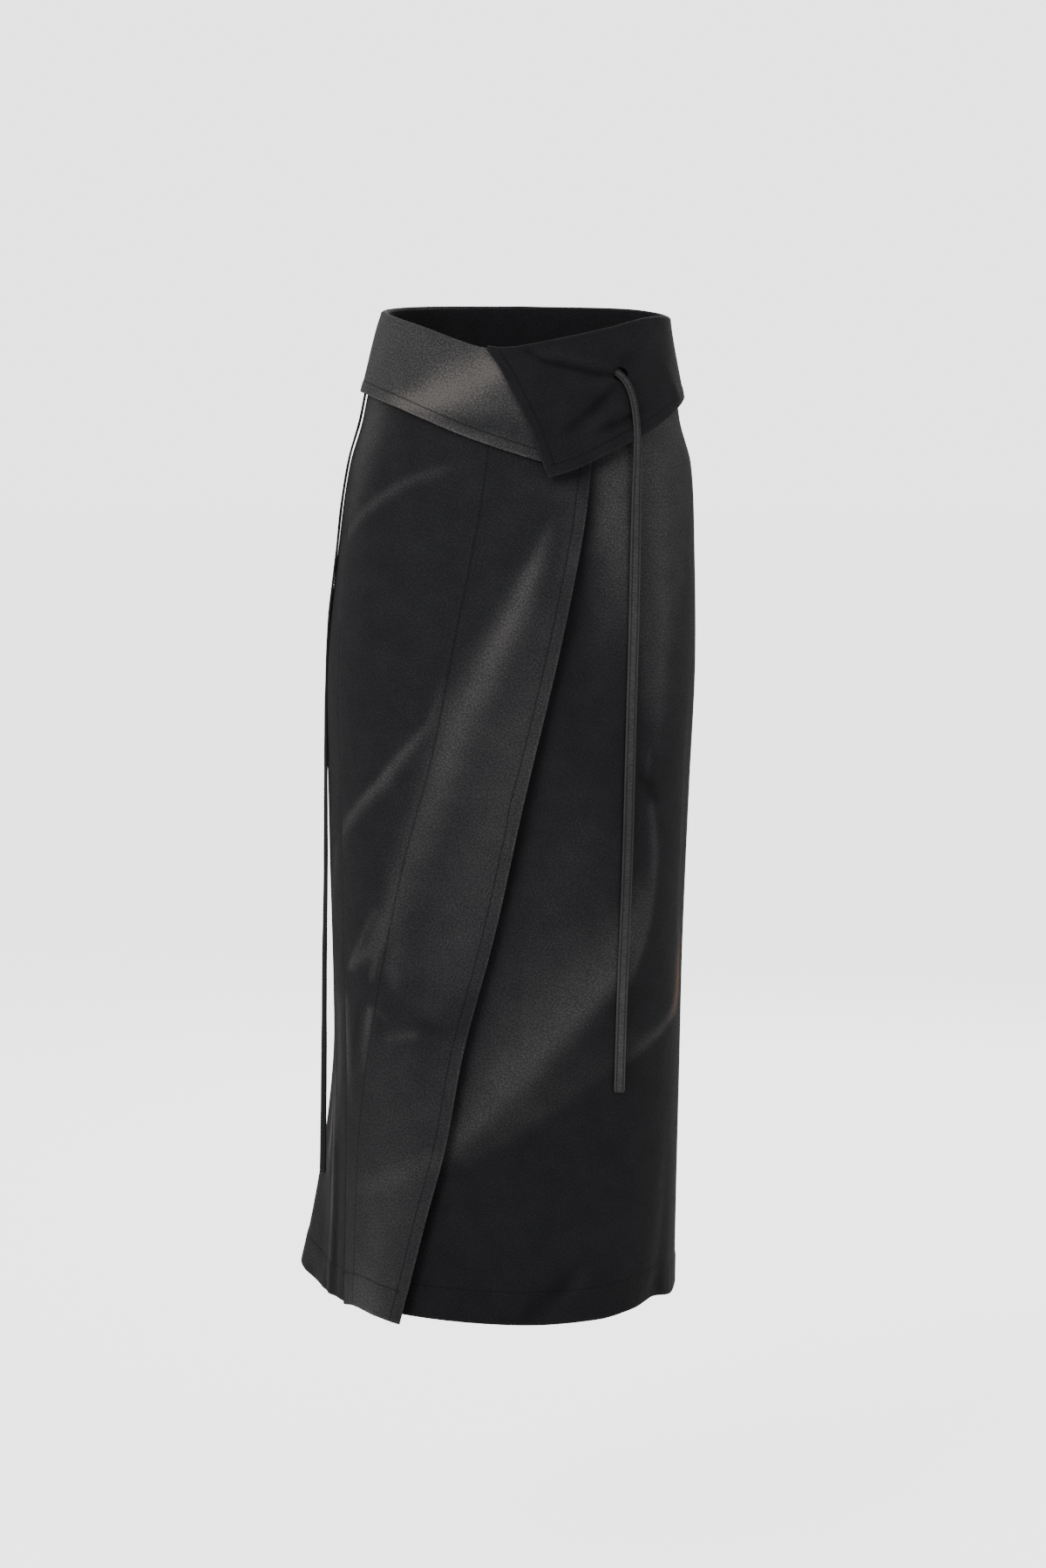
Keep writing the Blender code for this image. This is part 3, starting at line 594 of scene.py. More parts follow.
def read_table(rows, at, column):
    """The column's values where the rows' first column is `at`, on a smooth curve through them."""
    table = sorted((row[0], getattr(row, column)) for row in rows)
    places, values = np.array(table).T
    slopes = np.empty_like(values)
    slopes[1:-1] = (values[2:] - values[:-2]) / (places[2:] - places[:-2])
    slopes[0] = (values[1] - values[0]) / (places[1] - places[0])
    slopes[-1] = (values[-1] - values[-2]) / (places[-1] - places[-2])
    at = np.clip(at, places[0], places[-1])
    low = np.clip(np.searchsorted(places, at) - 1, 0, len(places) - 2)
    span = places[low + 1] - places[low]
    t = (at - places[low]) / span
    return (
        values[low] * (2 * t**3 - 3 * t**2 + 1)
        + slopes[low] * span * (t**3 - 2 * t**2 + t)
        + values[low + 1] * (-2 * t**3 + 3 * t**2)
        + slopes[low + 1] * span * (t**3 - t**2)
    )


def wrapped(angle):
    """The same angle between -180 and 180."""
    return (angle + 180.0) % 360.0 - 180.0


def base_point(angle, height):
    """Points of the plain oval body."""
    turn = np.radians(angle)
    across, along = np.sin(turn), np.cos(turn)
    right, left, front, back = (
        read_table(SECTIONS, height, column) for column in ("right", "left", "front", "back")
    )
    half_width = np.where(across > 0, right, left)
    depth = np.where(along > 0, front, back)
    full = 1.0 + FULLNESS * np.sin(2.0 * turn) ** 2
    return np.stack([half_width * across * full, -depth * along * full, height + 0.0 * turn], axis=-1)


def outward(surface, angle, height):
    """The level direction straight out of a surface."""
    along = surface(angle + ANGLE_STEP, height) - surface(angle - ANGLE_STEP, height)
    out = np.stack([along[..., 1], -along[..., 0], np.zeros_like(along[..., 0])], axis=-1)
    return out / np.linalg.norm(out, axis=-1, keepdims=True)


def degree_length(angle, height):
    """Metres of cloth in one degree round the body."""
    ahead = base_point(angle + ANGLE_STEP, height)
    behind = base_point(angle - ANGLE_STEP, height)
    return np.linalg.norm(ahead - behind, axis=-1) / (2.0 * ANGLE_STEP)


def brushed(strokes, angle, height):
    """What the strokes add at each place: the amounts, and the brown that goes with them."""
    scale = degree_length(angle, height)
    amount_sum = np.zeros_like(scale)
    warm_sum = np.zeros_like(scale)
    for stroke in strokes:
        best = np.zeros_like(scale)
        best_amount = np.zeros_like(scale)
        best_warm = np.zeros_like(scale)
        for start, end in zip(stroke, stroke[1:]):
            run = (end.angle - start.angle) * scale
            rise = end.height - start.height
            here = (angle - start.angle) * scale
            up = height - start.height
            t = np.clip((here * run + up * rise) / (run**2 + rise**2 + 1e-12), 0.0, 1.0)
            off_run, off_rise = here - run * t, up - rise * t
            away = np.hypot(off_run, off_rise) + 1e-9
            length = np.hypot(run, rise) + 1e-9
            lean = (run * off_rise - rise * off_run) / (length * away)
            share = 0.5 - 0.5 * lean
            left = start.left + (end.left - start.left) * t
            right = start.right + (end.right - start.right) * t
            width = (left + (right - left) * soft_step(1.0 - share)) / MM_PER_METRE
            strength = np.exp(-STROKE_FADE * (away / width) ** 2)
            nearer = strength > best
            best = np.where(nearer, strength, best)
            best_amount = np.where(nearer, start.amount + (end.amount - start.amount) * t, best_amount)
            best_warm = np.where(nearer, start.warm + (end.warm - start.warm) * t, best_warm)
        amount_sum += best * best_amount
        warm_sum += best * np.abs(best_amount) * best_warm
    return amount_sum, warm_sum


def body_point(angle, height):
    """Points of the base surface with its folds: the outer face of the layer next to the body."""
    out = outward(base_point, angle, height)
    moved = np.zeros_like(angle + height)
    for fold in FOLDS:
        away = np.abs(wrapped(angle - fold.angle)) / fold.half_width
        grown = np.clip((height - fold.start) / (fold.full - fold.start), 0.0, FOLD_LIMIT)
        moved += np.where(away < 1.0, fold.amount * grown**2 * 0.5 * (1.0 + np.cos(np.pi * away)), 0.0)
    return base_point(angle, height) + out * moved[..., None]


def skin_point(angle, height, lift):
    """Points that stand off the base surface by `lift`, with the gentle drape of the cloth."""
    turned = wrapped(angle)
    swell = brushed(DRAPE, turned, height)[0] + brushed(DRAPE, turned + 360.0, height)[0]
    lift = np.asarray(lift + swell / MM_PER_METRE)
    return body_point(angle, height) + outward(body_point, angle, height) * lift[..., None]


def seam_angle(seam):
    """A seam as a function of height."""
    return lambda height: read_table(seam, height, "angle")


def line_height(line):
    """A line round the body as a function of angle."""
    return lambda angle: read_table(line, angle, "height")


def beside(edge, height, width):
    """The angles that lie `width` metres to the right of an edge."""
    angle = edge(height)
    return angle + width / degree_length(angle, height)


def row_above(line, start, end, count, distance):
    """A row of sewing at a distance above a line: its angles and its heights."""
    angles = np.linspace(start, end, count)
    return angles, line(angles) + distance


def arc_across(angle, height, middle):
    """Metres of cloth from the angle `middle` to each angle, at the same height."""
    shares = np.linspace(0.0, 1.0, ARC_STEPS + 1)
    points = [base_point(middle + (angle - middle) * share, height) for share in shares]
    steps = sum(np.linalg.norm(there - here, axis=-1) for here, there in zip(points, points[1:]))
    return np.where(angle < middle, -steps, steps)


def from_rows(rows, angle, height):
    """Metres to the nearest row of sewing, each given as angles and heights along it."""
    scale = degree_length(angle, height)
    nearest = np.full_like(scale, FAR_FROM_SEAM)
    for row_angles, row_heights in rows:
        for index in range(len(row_angles) - 1):
            run = (row_angles[index + 1] - row_angles[index]) * scale
            rise = row_heights[index + 1] - row_heights[index]
            here = (angle - row_angles[index]) * scale
            up = height - row_heights[index]
            t = np.clip((here * run + up * rise) / (run**2 + rise**2 + 1e-12), 0.0, 1.0)
            nearest = np.minimum(nearest, np.hypot(here - run * t, up - rise * t))
    return nearest


def round_rims(mesh):
    """Rounds the cut edges of a wall of cloth."""
    rims = [
        edge for edge in mesh.edges
        if len(edge.link_faces) == 2 and edge.calc_face_angle() > math.radians(RIM_ANGLE)
    ]
    bmesh.ops.bevel(
        mesh, geom=rims, offset=RIM_ROUND, offset_type="OFFSET", segments=3, profile=0.5,
        affect="EDGES", clamp_overlap=True, material=-1,
    )


def spread(share, length, first, last):
    """Places along a length, where a near and a far band hold their own share of the mesh lines.

    So that a mesh line lies on each row of sewing: a band is its share of the lines and its width.
    """
    (first_share, first_width), (last_share, last_width) = first, last
    between = (share - first_share) / (1.0 - first_share - last_share)
    inside = first_width + between * (length - first_width - last_width)
    near = share / max(first_share, 1e-9) * first_width
    far = length - (1.0 - share) / max(last_share, 1e-9) * last_width
    return np.where(share < first_share, near, np.where(share > 1.0 - last_share, far, inside))


def cloth_wall(columns, rows, place, paint, middle, paled):
    """A closed wall of cloth, 1.2 mm thick, with its map, its washed tone and painted shade, and its
    distance to the sewing.

    The last argument is how many levels paler its start, end, lower and upper edges are painted.
    """
    mesh = bmesh.new()
    cloth_uv = mesh.loops.layers.uv.new("cloth")
    layers = [mesh.verts.layers.float.new(layer) for layer in ("wash_and_shade", "warm", "seam")]
    bmesh.ops.create_grid(mesh, x_segments=columns, y_segments=rows, size=0.5)
    grown = bmesh.ops.extrude_face_region(mesh, geom=mesh.faces[:], use_keep_orig=True)
    inner_side = {item for item in grown["geom"] if isinstance(item, bmesh.types.BMVert)}
    across = np.array([vertex.co.x + 0.5 for vertex in mesh.verts])
    up = np.array([vertex.co.y + 0.5 for vertex in mesh.verts])
    inner = np.array([vertex in inner_side for vertex in mesh.verts])
    points, angle, height, run = place(across, up, inner)
    wash_and_shade, warm, seam = paint(angle, height)
    patchy = 0.75 + 0.25 * np.sin(angle * 1.9 + height * 61.0) * np.sin(angle * 0.7 - height * 147.0)
    # Each edge is painted paler by its levels, a little unevenly along it.
    for share, paling in zip((1.0 - across, across, 1.0 - up, up), paled):
        wash_and_shade = wash_and_shade + np.where(share > AT_THE_EDGE, paling * patchy / (PALEST - BLACKEST), 0.0)
    levels = np.where(inner, INSIDE_LEVEL / (PALEST - BLACKEST), wash_and_shade)
    warms = np.where(inner, 0.0, warm)
    seams = np.where(inner, FAR_FROM_SEAM, seam)
    sideways = arc_across(angle, height, middle)
    for index, vertex in enumerate(mesh.verts):
        vertex.co = points[index]
        vertex.index = index
        for layer, values in zip(layers, (levels, warms, seams)):
            vertex[layer] = values[index]
    for face in mesh.faces:
        for loop in face.loops:
            loop[cloth_uv].uv = (sideways[loop.vert.index], run[loop.vert.index])
    bmesh.ops.recalc_face_normals(mesh, faces=mesh.faces)
    mesh.normal_update()
    return mesh


def panel_wall(
    columns, rows, start, end, hem, top, lift, paint, middle,
    start_band=NO_BAND, end_band=NO_BAND, paled=(0, 0, 8, 0),
):
    """A panel of the body between two edges, from the hem to the start of the fold-over."""

    def place(across, up, inner):
        height = np.full_like(across, SECTIONS[-1].height)
        for _ in range(PLACE_ROUNDS):
            first, last = beside(start, height, SEAM_GAP / 2), beside(end, height, -SEAM_GAP / 2)
            start_width = start_band[1] / degree_length(first, height)
            end_width = end_band[1] / degree_length(last, height)
            bands = (start_band[0] / columns, start_width), (end_band[0] / columns, end_width)
            angle = first + spread(across, last - first, *bands)
            low = hem(angle)
            height = low + spread(up, top(angle) - SEAM_GAP - low, (HEM_ROWS / rows, HEM_DEPTH), NO_BAND)
        lifted = lift(angle, height) - np.where(inner, WALL, 0.0)
        return skin_point(angle, height, lifted), angle, height, height

    return cloth_wall(columns, rows, place, paint, middle, paled)


def washed(base, strokes, rows):
    """How a piece is painted: its plain grey, the strokes on it, and its rows of sewing."""

    def paint(angle, height):
        levels, warm = brushed(strokes, angle, height)
        wash_and_shade = (base(angle, height) + levels - BLACKEST) / (PALEST - BLACKEST)
        return np.maximum(wash_and_shade, 0.0), np.clip(warm / FULLY_BROWN, 0.0, 1.0), from_rows(rows, angle, height)

    return paint


def sewn_line(mesh, surface, angles, heights):
    """One row of stitches along a line on a piece's outer face."""
    points = surface(angles, heights)
    outs = outward(surface, angles, heights)
    sewn_row(mesh, points - outs * (STITCH_RADIUS * STITCH_SUNK), outs)


def sewing(name, surface, rows, thread):
    """All the rows of stitches on a piece."""
    mesh = bmesh.new()
    for row in rows:
        sewn_line(mesh, surface, *row)
    return finished_piece(name, mesh, thread)


def fold_line(angle):
    """Height of the top of the outermost fold."""
    return read_table(FOLD_LINE, wrapped(angle), "height")


def back_top(angle):
    """Where the back panel ends and its fold-over starts."""
    return fold_line(angle) - ROLL_RADIUS - WALL / 2


def hem_height(angle):
    """The hem of the back and of the under front."""
    return read_table(HEM_LINE, wrapped(angle), "height")


def hem_lift(hem, angle, height):
    """How much the turned-up hem swells, a little unevenly, and is held down by its stitches."""
    uneven = 1.0 + 0.30 * np.sin(angle * 1.9) * np.sin(angle * 0.83 + 1.0)
    return HEM_SWELL * uneven * soft_step((hem(angle) + HEM_DEPTH - height) / HEM_SOFTENS)


def back_lift(angle, height):
    """Lift of the back panel's outer face."""
    return hem_lift(hem_height, angle, height)


charcoal_twill = twill_material("washed_charcoal_cotton_twill", CHARCOAL_TONES, 1.75, 0.86)
charcoal_thread = thread_material("charcoal_polyester_thread", "#0e0e0f")

back_hem_row = row_above(hem_height, 78.0, 291.5, 90, HEM_DEPTH)
BACK_WASH_HIGHLIGHT_AND_SHADE = (
    (Dab(269.8, -0.6880, 5, 5, 44, 0.3), Dab(267.2, -0.7150, 6, 6, 78, 0.3),
     Dab(265.0, -0.7445, 7, 7, 52, 0.3), Dab(263.5, -0.7720, 9, 8, 18, 0.3),
     Dab(260.8, -0.8155, 11, 8, 12, 0.2), Dab(261.1, -0.8485, 11, 10, 15, 0.1),
     Dab(266.0, -0.8720, 11, 10, 16, 0.1)),
    # Painted highlight along the ridge of the fold at the lower left.
    (Dab(277.6, -0.6670, 5, 5, 26), Dab(276.6, -0.7020, 5, 5, 56), Dab(276.6, -0.7420, 5, 5, 46),
     Dab(277.6, -0.7900, 4, 4, 42),
     Dab(276.4, -0.8241, 5, 5, 20), Dab(274.4, -0.8498, 6, 6, 12), Dab(276.0, -0.8700, 6, 6, 8)),
    # Painted shade in a strip beside that ridge.
    (Dab(286.0, -0.6883, 5, 6, -4), Dab(284.8, -0.7214, 5, 6, -8), Dab(283.3, -0.7876, 6, 8, -11),
     Dab(282.0, -0.8294, 6, 9, -11),
     Dab(283.0, -0.8657, 6, 9, -4)),
    (Dab(285.0, -0.60, 9, 9, 10, 0.3), Dab(284.0, -0.66, 9, 9, 18, 0.6), Dab(282.0, -0.69, 8, 8, 16, 0.6),
     Dab(280.0, -0.73, 7, 7, 6, 0.3)),
    (Dab(286.0, -0.05, 14, 14, 12), Dab(284.0, -0.14, 12, 12, 8), Dab(288.0, -0.24, 8, 8, 6)),
    (Dab(286.0, -0.455, 6, 6, 14), Dab(280.0, -0.50, 8, 8, 12), Dab(268.0, -0.53, 10, 10, 8),
     Dab(252.0, -0.54, 10, 10, 2)),
    (Dab(284.0, -0.60, 12, 12, 14), Dab(283.0, -0.65, 10, 10, 10), Dab(280.0, -0.72, 8, 8, 4)),
    (Dab(238.0, -0.06, 20, 24, 10), Dab(228.0, -0.18, 24, 26, 22), Dab(216.0, -0.30, 26, 28, 26),
     Dab(206.0, -0.42, 24, 26, 20), Dab(198.0, -0.52, 16, 18, 8)),
    (Dab(150.0, -0.10, 22, 26, 12), Dab(156.0, -0.22, 26, 26, 20), Dab(152.0, -0.34, 22, 24, 14),
     Dab(142.0, -0.44, 16, 18, 4)),
    (Dab(112.0, -0.52, 10, 24, 8, 0.2), Dab(128.0, -0.58, 12, 36, 20, 0.3),
     Dab(150.0, -0.65, 14, 40, 26, 0.4), Dab(172.0, -0.72, 14, 36, 24, 0.4),
     Dab(192.0, -0.78, 12, 24, 12, 0.2)),
    (Dab(100.0, -0.55, 3, 4, 22, 0.8), Dab(88.0, -0.562, 3, 4, 28, 1.0), Dab(79.0, -0.572, 3, 4, 26, 1.0)),
    (Dab(206.0, -0.62, 6, 10, 8), Dab(222.0, -0.66, 6, 12, 12), Dab(240.0, -0.70, 6, 12, 8)),
    (Dab(84.0, -0.10, 16, 10, -3), Dab(84.0, -0.22, 16, 10, -8), Dab(84.0, -0.40, 16, 10, -9),
     Dab(84.0, -0.54, 16, 10, -6), Dab(84.0, -0.62, 16, 10, -1)),
    (Dab(170.0, -0.02, 40, 40, 6), Dab(200.0, -0.02, 40, 40, 8), Dab(250.0, -0.03, 30, 30, 10)),
)


def back_base(angle, height):
    """The back's plain grey: a little darker low down and to the right."""
    return 35.0 - 3.0 * soft_step((-0.5 - height) / 0.3) + 2.0 * soft_step((angle - 180.0) / 90.0)


mesh = panel_wall(
    columns=200, rows=190, start=seam_angle(RIGHT_SIDE_SEAM),
    end=lambda height: read_table(LEFT_SIDE_SEAM, height, "angle") + 360.0,
    hem=hem_height, top=back_top, lift=back_lift,
    paint=washed(back_base, BACK_WASH_HIGHLIGHT_AND_SHADE, [back_hem_row]), middle=180.0,
)
round_rims(mesh)
back_cloth = finished_piece("back_cloth", mesh, charcoal_twill)
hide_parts("back")


def back_surface(angle, height):
    """The back panel's outer face."""
    return skin_point(angle, height, back_lift(angle, height))


back_stitches = sewing("back_hem_stitching", back_surface, [back_hem_row], charcoal_thread)


# Under front
# The front that lies next to the body, one piece of the same twill. Its free edge is hidden behind
# the wrap, and its top folds over into the black flap.

HOLE_X = 0.0866
HOLE_HEIGHT = -0.0232
WRAP_END = 36.0
FLAP_SETTLED = 58.0
UNDER_HEM_FLAT = -40.0
ROLL_TIGHT = 0.0014
ROLL_OUTER = ROLL_TIGHT + LAYER_STEP

Edge = namedtuple("Edge", "height x")
UNDER_EDGE = (
    Edge(0.040, -0.0290), Edge(0.000, -0.0315), Edge(-0.120, -0.0450), Edge(-0.500, -0.0950),
    Edge(-0.890, -0.1380),
)


def angle_at(x, height):
    """The front angles where the body is `x` from the middle."""
    low, high = np.full_like(height, -90.0), np.full_like(height, 90.0)
    for _ in range(SEARCH_ROUNDS):
        middle = 0.5 * (low + high)
        short = body_point(middle, height)[..., 0] < x
        low, high = np.where(short, middle, low), np.where(short, high, middle)
    return 0.5 * (low + high)


def edge_angle(edge):
    """A line down the front as a function of height."""
    heights = np.linspace(-0.93, 0.06, 120)
    angles = angle_at(read_table(edge, heights, "x"), heights)
    return lambda height: np.interp(height, heights, angles)


def flap_roll(angle):
    """Radius of the flap's fold: wide over the wrapped layers, then as on the rest."""
    settled = soft_step((angle - WRAP_END) / (FLAP_SETTLED - WRAP_END))
    return ROLL_OUTER + (ROLL_RADIUS - ROLL_OUTER) * settled


def flap_roll_height(angle):
    """Height of the middle of the flap's fold."""
    return fold_line(angle) - flap_roll(angle) - WALL / 2


UNDER_CREASES = (
    (Dab(18.1, -0.8219, 7, 7, -0.6), Dab(17.2, -0.8337, 7, 7, -2.2), Dab(13.3, -0.8436, 7, 7, -2.8),
     Dab(7.6, -0.8527, 7, 7, -2.2), Dab(2.5, -0.8668, 7, 7, -0.8)),
    (Dab(26.0, -0.8300, 8, 8, 0.4), Dab(21.0, -0.8450, 8, 8, 1.6), Dab(15.0, -0.8560, 8, 8, 1.6),
     Dab(9.0, -0.8680, 8, 8, 0.6)),
    (Dab(62.0, -0.848, 5, 5, -0.3), Dab(58.0, -0.855, 6, 6, -0.9), Dab(52.0, -0.864, 6, 6, -0.5)),
)


def under_lift(angle, height):
    """Lift of the under front's outer face. Its hem stays flat where the wrap presses on it."""
    swollen = hem_lift(hem_height, angle, height) * soft_step((angle - UNDER_HEM_FLAT) / 10.0)
    return brushed(UNDER_CREASES, angle, height)[0] / MM_PER_METRE + swollen


def under_surface(angle, height):
    """The under front's outer face."""
    return skin_point(angle, height, under_lift(angle, height))


# The under front's dye wash, with painted shade, painted highlights and painted shadows in places.
UNDER_WASH_AND_SHADE = (
    # Painted shade down the crease near the hem, then a painted highlight along the ridge beside it.
    (Dab(18.1, -0.8180, 7, 7, 4), Dab(17.8, -0.8340, 7, 7, -5), Dab(14.0, -0.8460, 8, 8, -7),
     Dab(7.6, -0.8560, 8, 8, -6), Dab(2.5, -0.8700, 7, 7, -4)),
    (Dab(24.0, -0.8330, 7, 7, 3), Dab(20.0, -0.8460, 6, 6, 5), Dab(14.0, -0.8620, 6, 6, 4),
     Dab(9.0, -0.8740, 6, 6, 2)),
    (Dab(49.5, -0.0627, 44.0, 38.4, 25), Dab(39.2, -0.1172, 38.4, 40.0, 27),
     Dab(35.2, -0.1638, 33.6, 41.6, 28), Dab(36.4, -0.2028, 27.2, 36.8, 21),
     Dab(41.1, -0.2500, 22.4, 30.4, 16), Dab(46.0, -0.3054, 17.6, 24.0, 14),
     Dab(49.5, -0.3532, 11.2, 16.0, 6)),
    (Dab(30.5, -0.0937, 24.0, 24.0, 8), Dab(27.1, -0.1402, 24.0, 20.8, 10),
     Dab(23.3, -0.1751, 16.0, 17.6, 8), Dab(19.7, -0.2061, 11.2, 12.8, 2)),
    (Dab(51.6, -0.1135, 11, 16, 7), Dab(50.7, -0.1565, 13, 19, 11), Dab(50.6, -0.1957, 14, 19, 15),
     Dab(50.9, -0.2351, 14, 17, 19),
     Dab(50.9, -0.2705, 11, 14, 14), Dab(49.8, -0.3058, 9, 11, 9), Dab(49.3, -0.3452, 7, 8, 3)),
    (Dab(66.0, -0.060, 26, 22, 16), Dab(64.0, -0.130, 26, 20, 18), Dab(62.0, -0.190, 22, 18, 14),
     Dab(62.0, -0.270, 16, 16, 7), Dab(64.0, -0.330, 14, 12, 2)),
    (Dab(30.0, -0.190, 18, 20, 6), Dab(28.0, -0.235, 20, 22, 10), Dab(27.0, -0.280, 16, 20, 5),
     Dab(28.0, -0.320, 14, 16, 1)),
    (Dab(45.5, -0.3621, 2.4, 3.2, 8), Dab(45.3, -0.3731, 3.2, 4.0, 14), Dab(45.1, -0.3826, 3.2, 3.2, 8)),
    (Dab(43.1, -0.3862, 5.6, 6.4, -10), Dab(47.0, -0.3963, 7.2, 7.2, -16),
     Dab(49.9, -0.4054, 4.8, 5.6, -10)),
    (Dab(47.6, -0.4133, 5, 4, 14), Dab(49.6, -0.4328, 7, 5, 19), Dab(50.8, -0.4608, 8, 5, 18),
     Dab(50.4, -0.4883, 12, 5, 18),
     Dab(48.0, -0.5163, 20, 6, 22), Dab(44.8, -0.5400, 20, 6, 24), Dab(41.0, -0.5600, 16, 6, 20),
     Dab(36.0, -0.5780, 14, 7, 10)),
    (Dab(43.0, -0.4900, 18.0, 9.0, 12, 0.05), Dab(38.0, -0.5300, 32.0, 11.0, 22, 0.08),
     Dab(31.5, -0.5640, 44.0, 13.0, 30, 0.10),
     Dab(19.5, -0.5980, 46.0, 15.0, 32, 0.08), Dab(7.5, -0.6300, 41.6, 17.5, 30, 0.06),
     Dab(-3.1, -0.6610, 33.6, 17.6, 29, 0.06),
     Dab(-12.0, -0.6881, 27.2, 14.4, 30, 0.08), Dab(-19.5, -0.7110, 19.2, 12.8, 27, 0.10),
     Dab(-24.4, -0.7291, 11.2, 9.6, 18, 0.15)),
    # Painted shadow cast by the black flap's lower edge.
    (Dab(24.0, -0.1060, 5, 6, -10), Dab(30.5, -0.0975, 5, 6, -15), Dab(37.0, -0.0890, 5, 5, -11),
     Dab(44.0, -0.0815, 4, 4, -3)),
    # Painted shadow in a strip beside the wrap's free edge, darkest near the top.
    (Dab(23.5, -0.1060, 8, 6, -8), Dab(22.0, -0.1324, 8, 8, -22), Dab(20.9, -0.1556, 8, 10, -27),
     Dab(18.6, -0.1867, 8, 11, -24),
     Dab(16.0, -0.2332, 8, 11, -20), Dab(9.5, -0.3109, 8, 7, -14), Dab(3.5, -0.3889, 8, 9, -14),
     Dab(-2.8, -0.4672, 8, 9, -14),
     Dab(-9.1, -0.5459, 8, 7, -10), Dab(-15.7, -0.6212, 8, 6, -8), Dab(-23.3, -0.7131, 8, 6, -8),
     Dab(-30.0, -0.8018, 8, 6, -6)),
    (Dab(56.3, -0.6222, 9.6, 6.4, 8, 0.2), Dab(39.5, -0.6328, 20.8, 8.0, 9, 0.2),
     Dab(22.3, -0.6575, 27.2, 9.6, 11, 0.2), Dab(6.8, -0.6846, 24.0, 9.6, 13, 0.2),
     Dab(-6.0, -0.7083, 19.2, 8.0, 12, 0.2), Dab(-16.5, -0.7281, 11.2, 6.4, 8, 0.1)),
    (Dab(74.5, -0.5264, 7, 7, 18, 0.5), Dab(74.5, -0.5571, 9, 9, 66, 0.8),
     Dab(74.5, -0.5850, 10, 10, 88, 0.8), Dab(70.5, -0.6030, 8, 7, 62, 0.6),
     Dab(62.0, -0.6140, 7, 5, 30, 0.3), Dab(50.8, -0.6262, 7, 5, 17, 0.1), Dab(40.4, -0.6402, 7, 5, 10)),
    (Dab(72.2, -0.2768, 5, 4, 1), Dab(71.8, -0.3649, 5, 4, 10), Dab(71.6, -0.4128, 5, 4, 12),
     Dab(71.6, -0.4616, 5, 4, 14),
     Dab(71.6, -0.5300, 5, 4, 14)),
    (Dab(12.1, -0.3891, 32, 32, 3), Dab(18.3, -0.4519, 44, 44, 8), Dab(8.6, -0.5143, 44, 44, 9),
     Dab(-4.7, -0.5851, 36, 36, 10),
     Dab(-11.2, -0.6406, 28.0, 28.0, 10)),
)

under_hem_row = row_above(hem_height, -50.0, 76.5, 60, HEM_DEPTH)


def under_base(angle, height):
    """The under front's plain grey: nearly black, and blackest low down."""
    return 33.0 - 3.0 * soft_step((-0.45 - height) / 0.25) - 3.0 * soft_step((-0.80 - height) / 0.06)


mesh = panel_wall(
    columns=144, rows=240, start=edge_angle(UNDER_EDGE), end=seam_angle(RIGHT_SIDE_SEAM),
    hem=hem_height, top=flap_roll_height, lift=under_lift,
    paint=washed(under_base, UNDER_WASH_AND_SHADE, [under_hem_row]), middle=0.0,
)
round_rims(mesh)
under_cloth = finished_piece("under_front_cloth", mesh, charcoal_twill)
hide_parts("under_front")

under_stitches = sewing("under_hem_stitching", under_surface, [under_hem_row], charcoal_thread)


# Over front
# The front that wraps over, cut in a side half and a centre half and joined by a slanting seam,
# stitched once beside it. Its free edge is turned in and topstitched 11 mm from the fold.

ROLL_OPEN_ANGLE = -40.0
ROLL_TIGHT_ANGLE = -16.0
CLIMB_SPARE = 6.0
WRAP_REACH = 0.075
WRAP_TURNING = 0.0108
WRAP_SWELL = 0.0004
PANEL_STITCH = 0.0016

OVER_HEM_LINE = (
    Line(-90.0, -0.8775), Line(-67.0, -0.8775), Line(-58.0, -0.8745), Line(-46.0, -0.8765),
    Line(-36.0, -0.8805), Line(-20.0, -0.8850),
)
WRAP_EDGE = (
    Edge(0.040, 0.0740), Edge(-0.050, 0.0665), Edge(-0.115, 0.0612), Edge(-0.171, 0.0537),
    Edge(-0.276, 0.0327), Edge(-0.402, 0.0032),
    Edge(-0.522, -0.0226), Edge(-0.629, -0.0500), Edge(-0.716, -0.0655), Edge(-0.785, -0.0828),
    Edge(-0.890, -0.1070),
)
PANEL_SEAM = (
    Edge(0.040, -0.0240), Edge(-0.091, -0.0310), Edge(-0.155, -0.0396), Edge(-0.258, -0.0600),
    Edge(-0.370, -0.0821),
    Edge(-0.460, -0.1061), Edge(-0.572, -0.1282), Edge(-0.706, -0.1475), Edge(-0.890, -0.1550),
)
LEFT_FOLD_LINE = (
    Line(-100.0, 0.0365), Line(-90.0, 0.0355), Line(-67.0, 0.0305), Line(-43.0, 0.0205),
    Line(-22.0, 0.0052), Line(-16.0, 0.0010),
    Line(-11.0, -0.0006), Line(-4.0, -0.0015), Line(14.0, 0.0062), Line(33.0, 0.0155), Line(45.0, 0.0215),
)
StandOff = namedtuple("StandOff", "height amount")
WRAP_STAND_OFF = (
    StandOff(-0.090, 0.0000), StandOff(-0.200, 0.0030), StandOff(-0.400, 0.0050), StandOff(-0.650, 0.0065),
    StandOff(-0.890, 0.0095),
)

over_hem = line_height(OVER_HEM_LINE)
wrap_edge = edge_angle(WRAP_EDGE)
panel_seam = edge_angle(PANEL_SEAM)
under_edge = edge_angle(UNDER_EDGE)
left_side_seam = seam_angle(LEFT_SIDE_SEAM)


def left_roll(angle):
    """Radius of the fold at the top of the over front: tight where the flap covers it."""
    tight = soft_step((angle - ROLL_OPEN_ANGLE) / (ROLL_TIGHT_ANGLE - ROLL_OPEN_ANGLE))
    return ROLL_RADIUS + (ROLL_TIGHT - ROLL_RADIUS) * tight


def left_roll_height(angle):
    """Height of the middle of that fold, which passes under the flap."""
    return read_table(LEFT_FOLD_LINE, angle, "height") - left_roll(angle) - WALL / 2


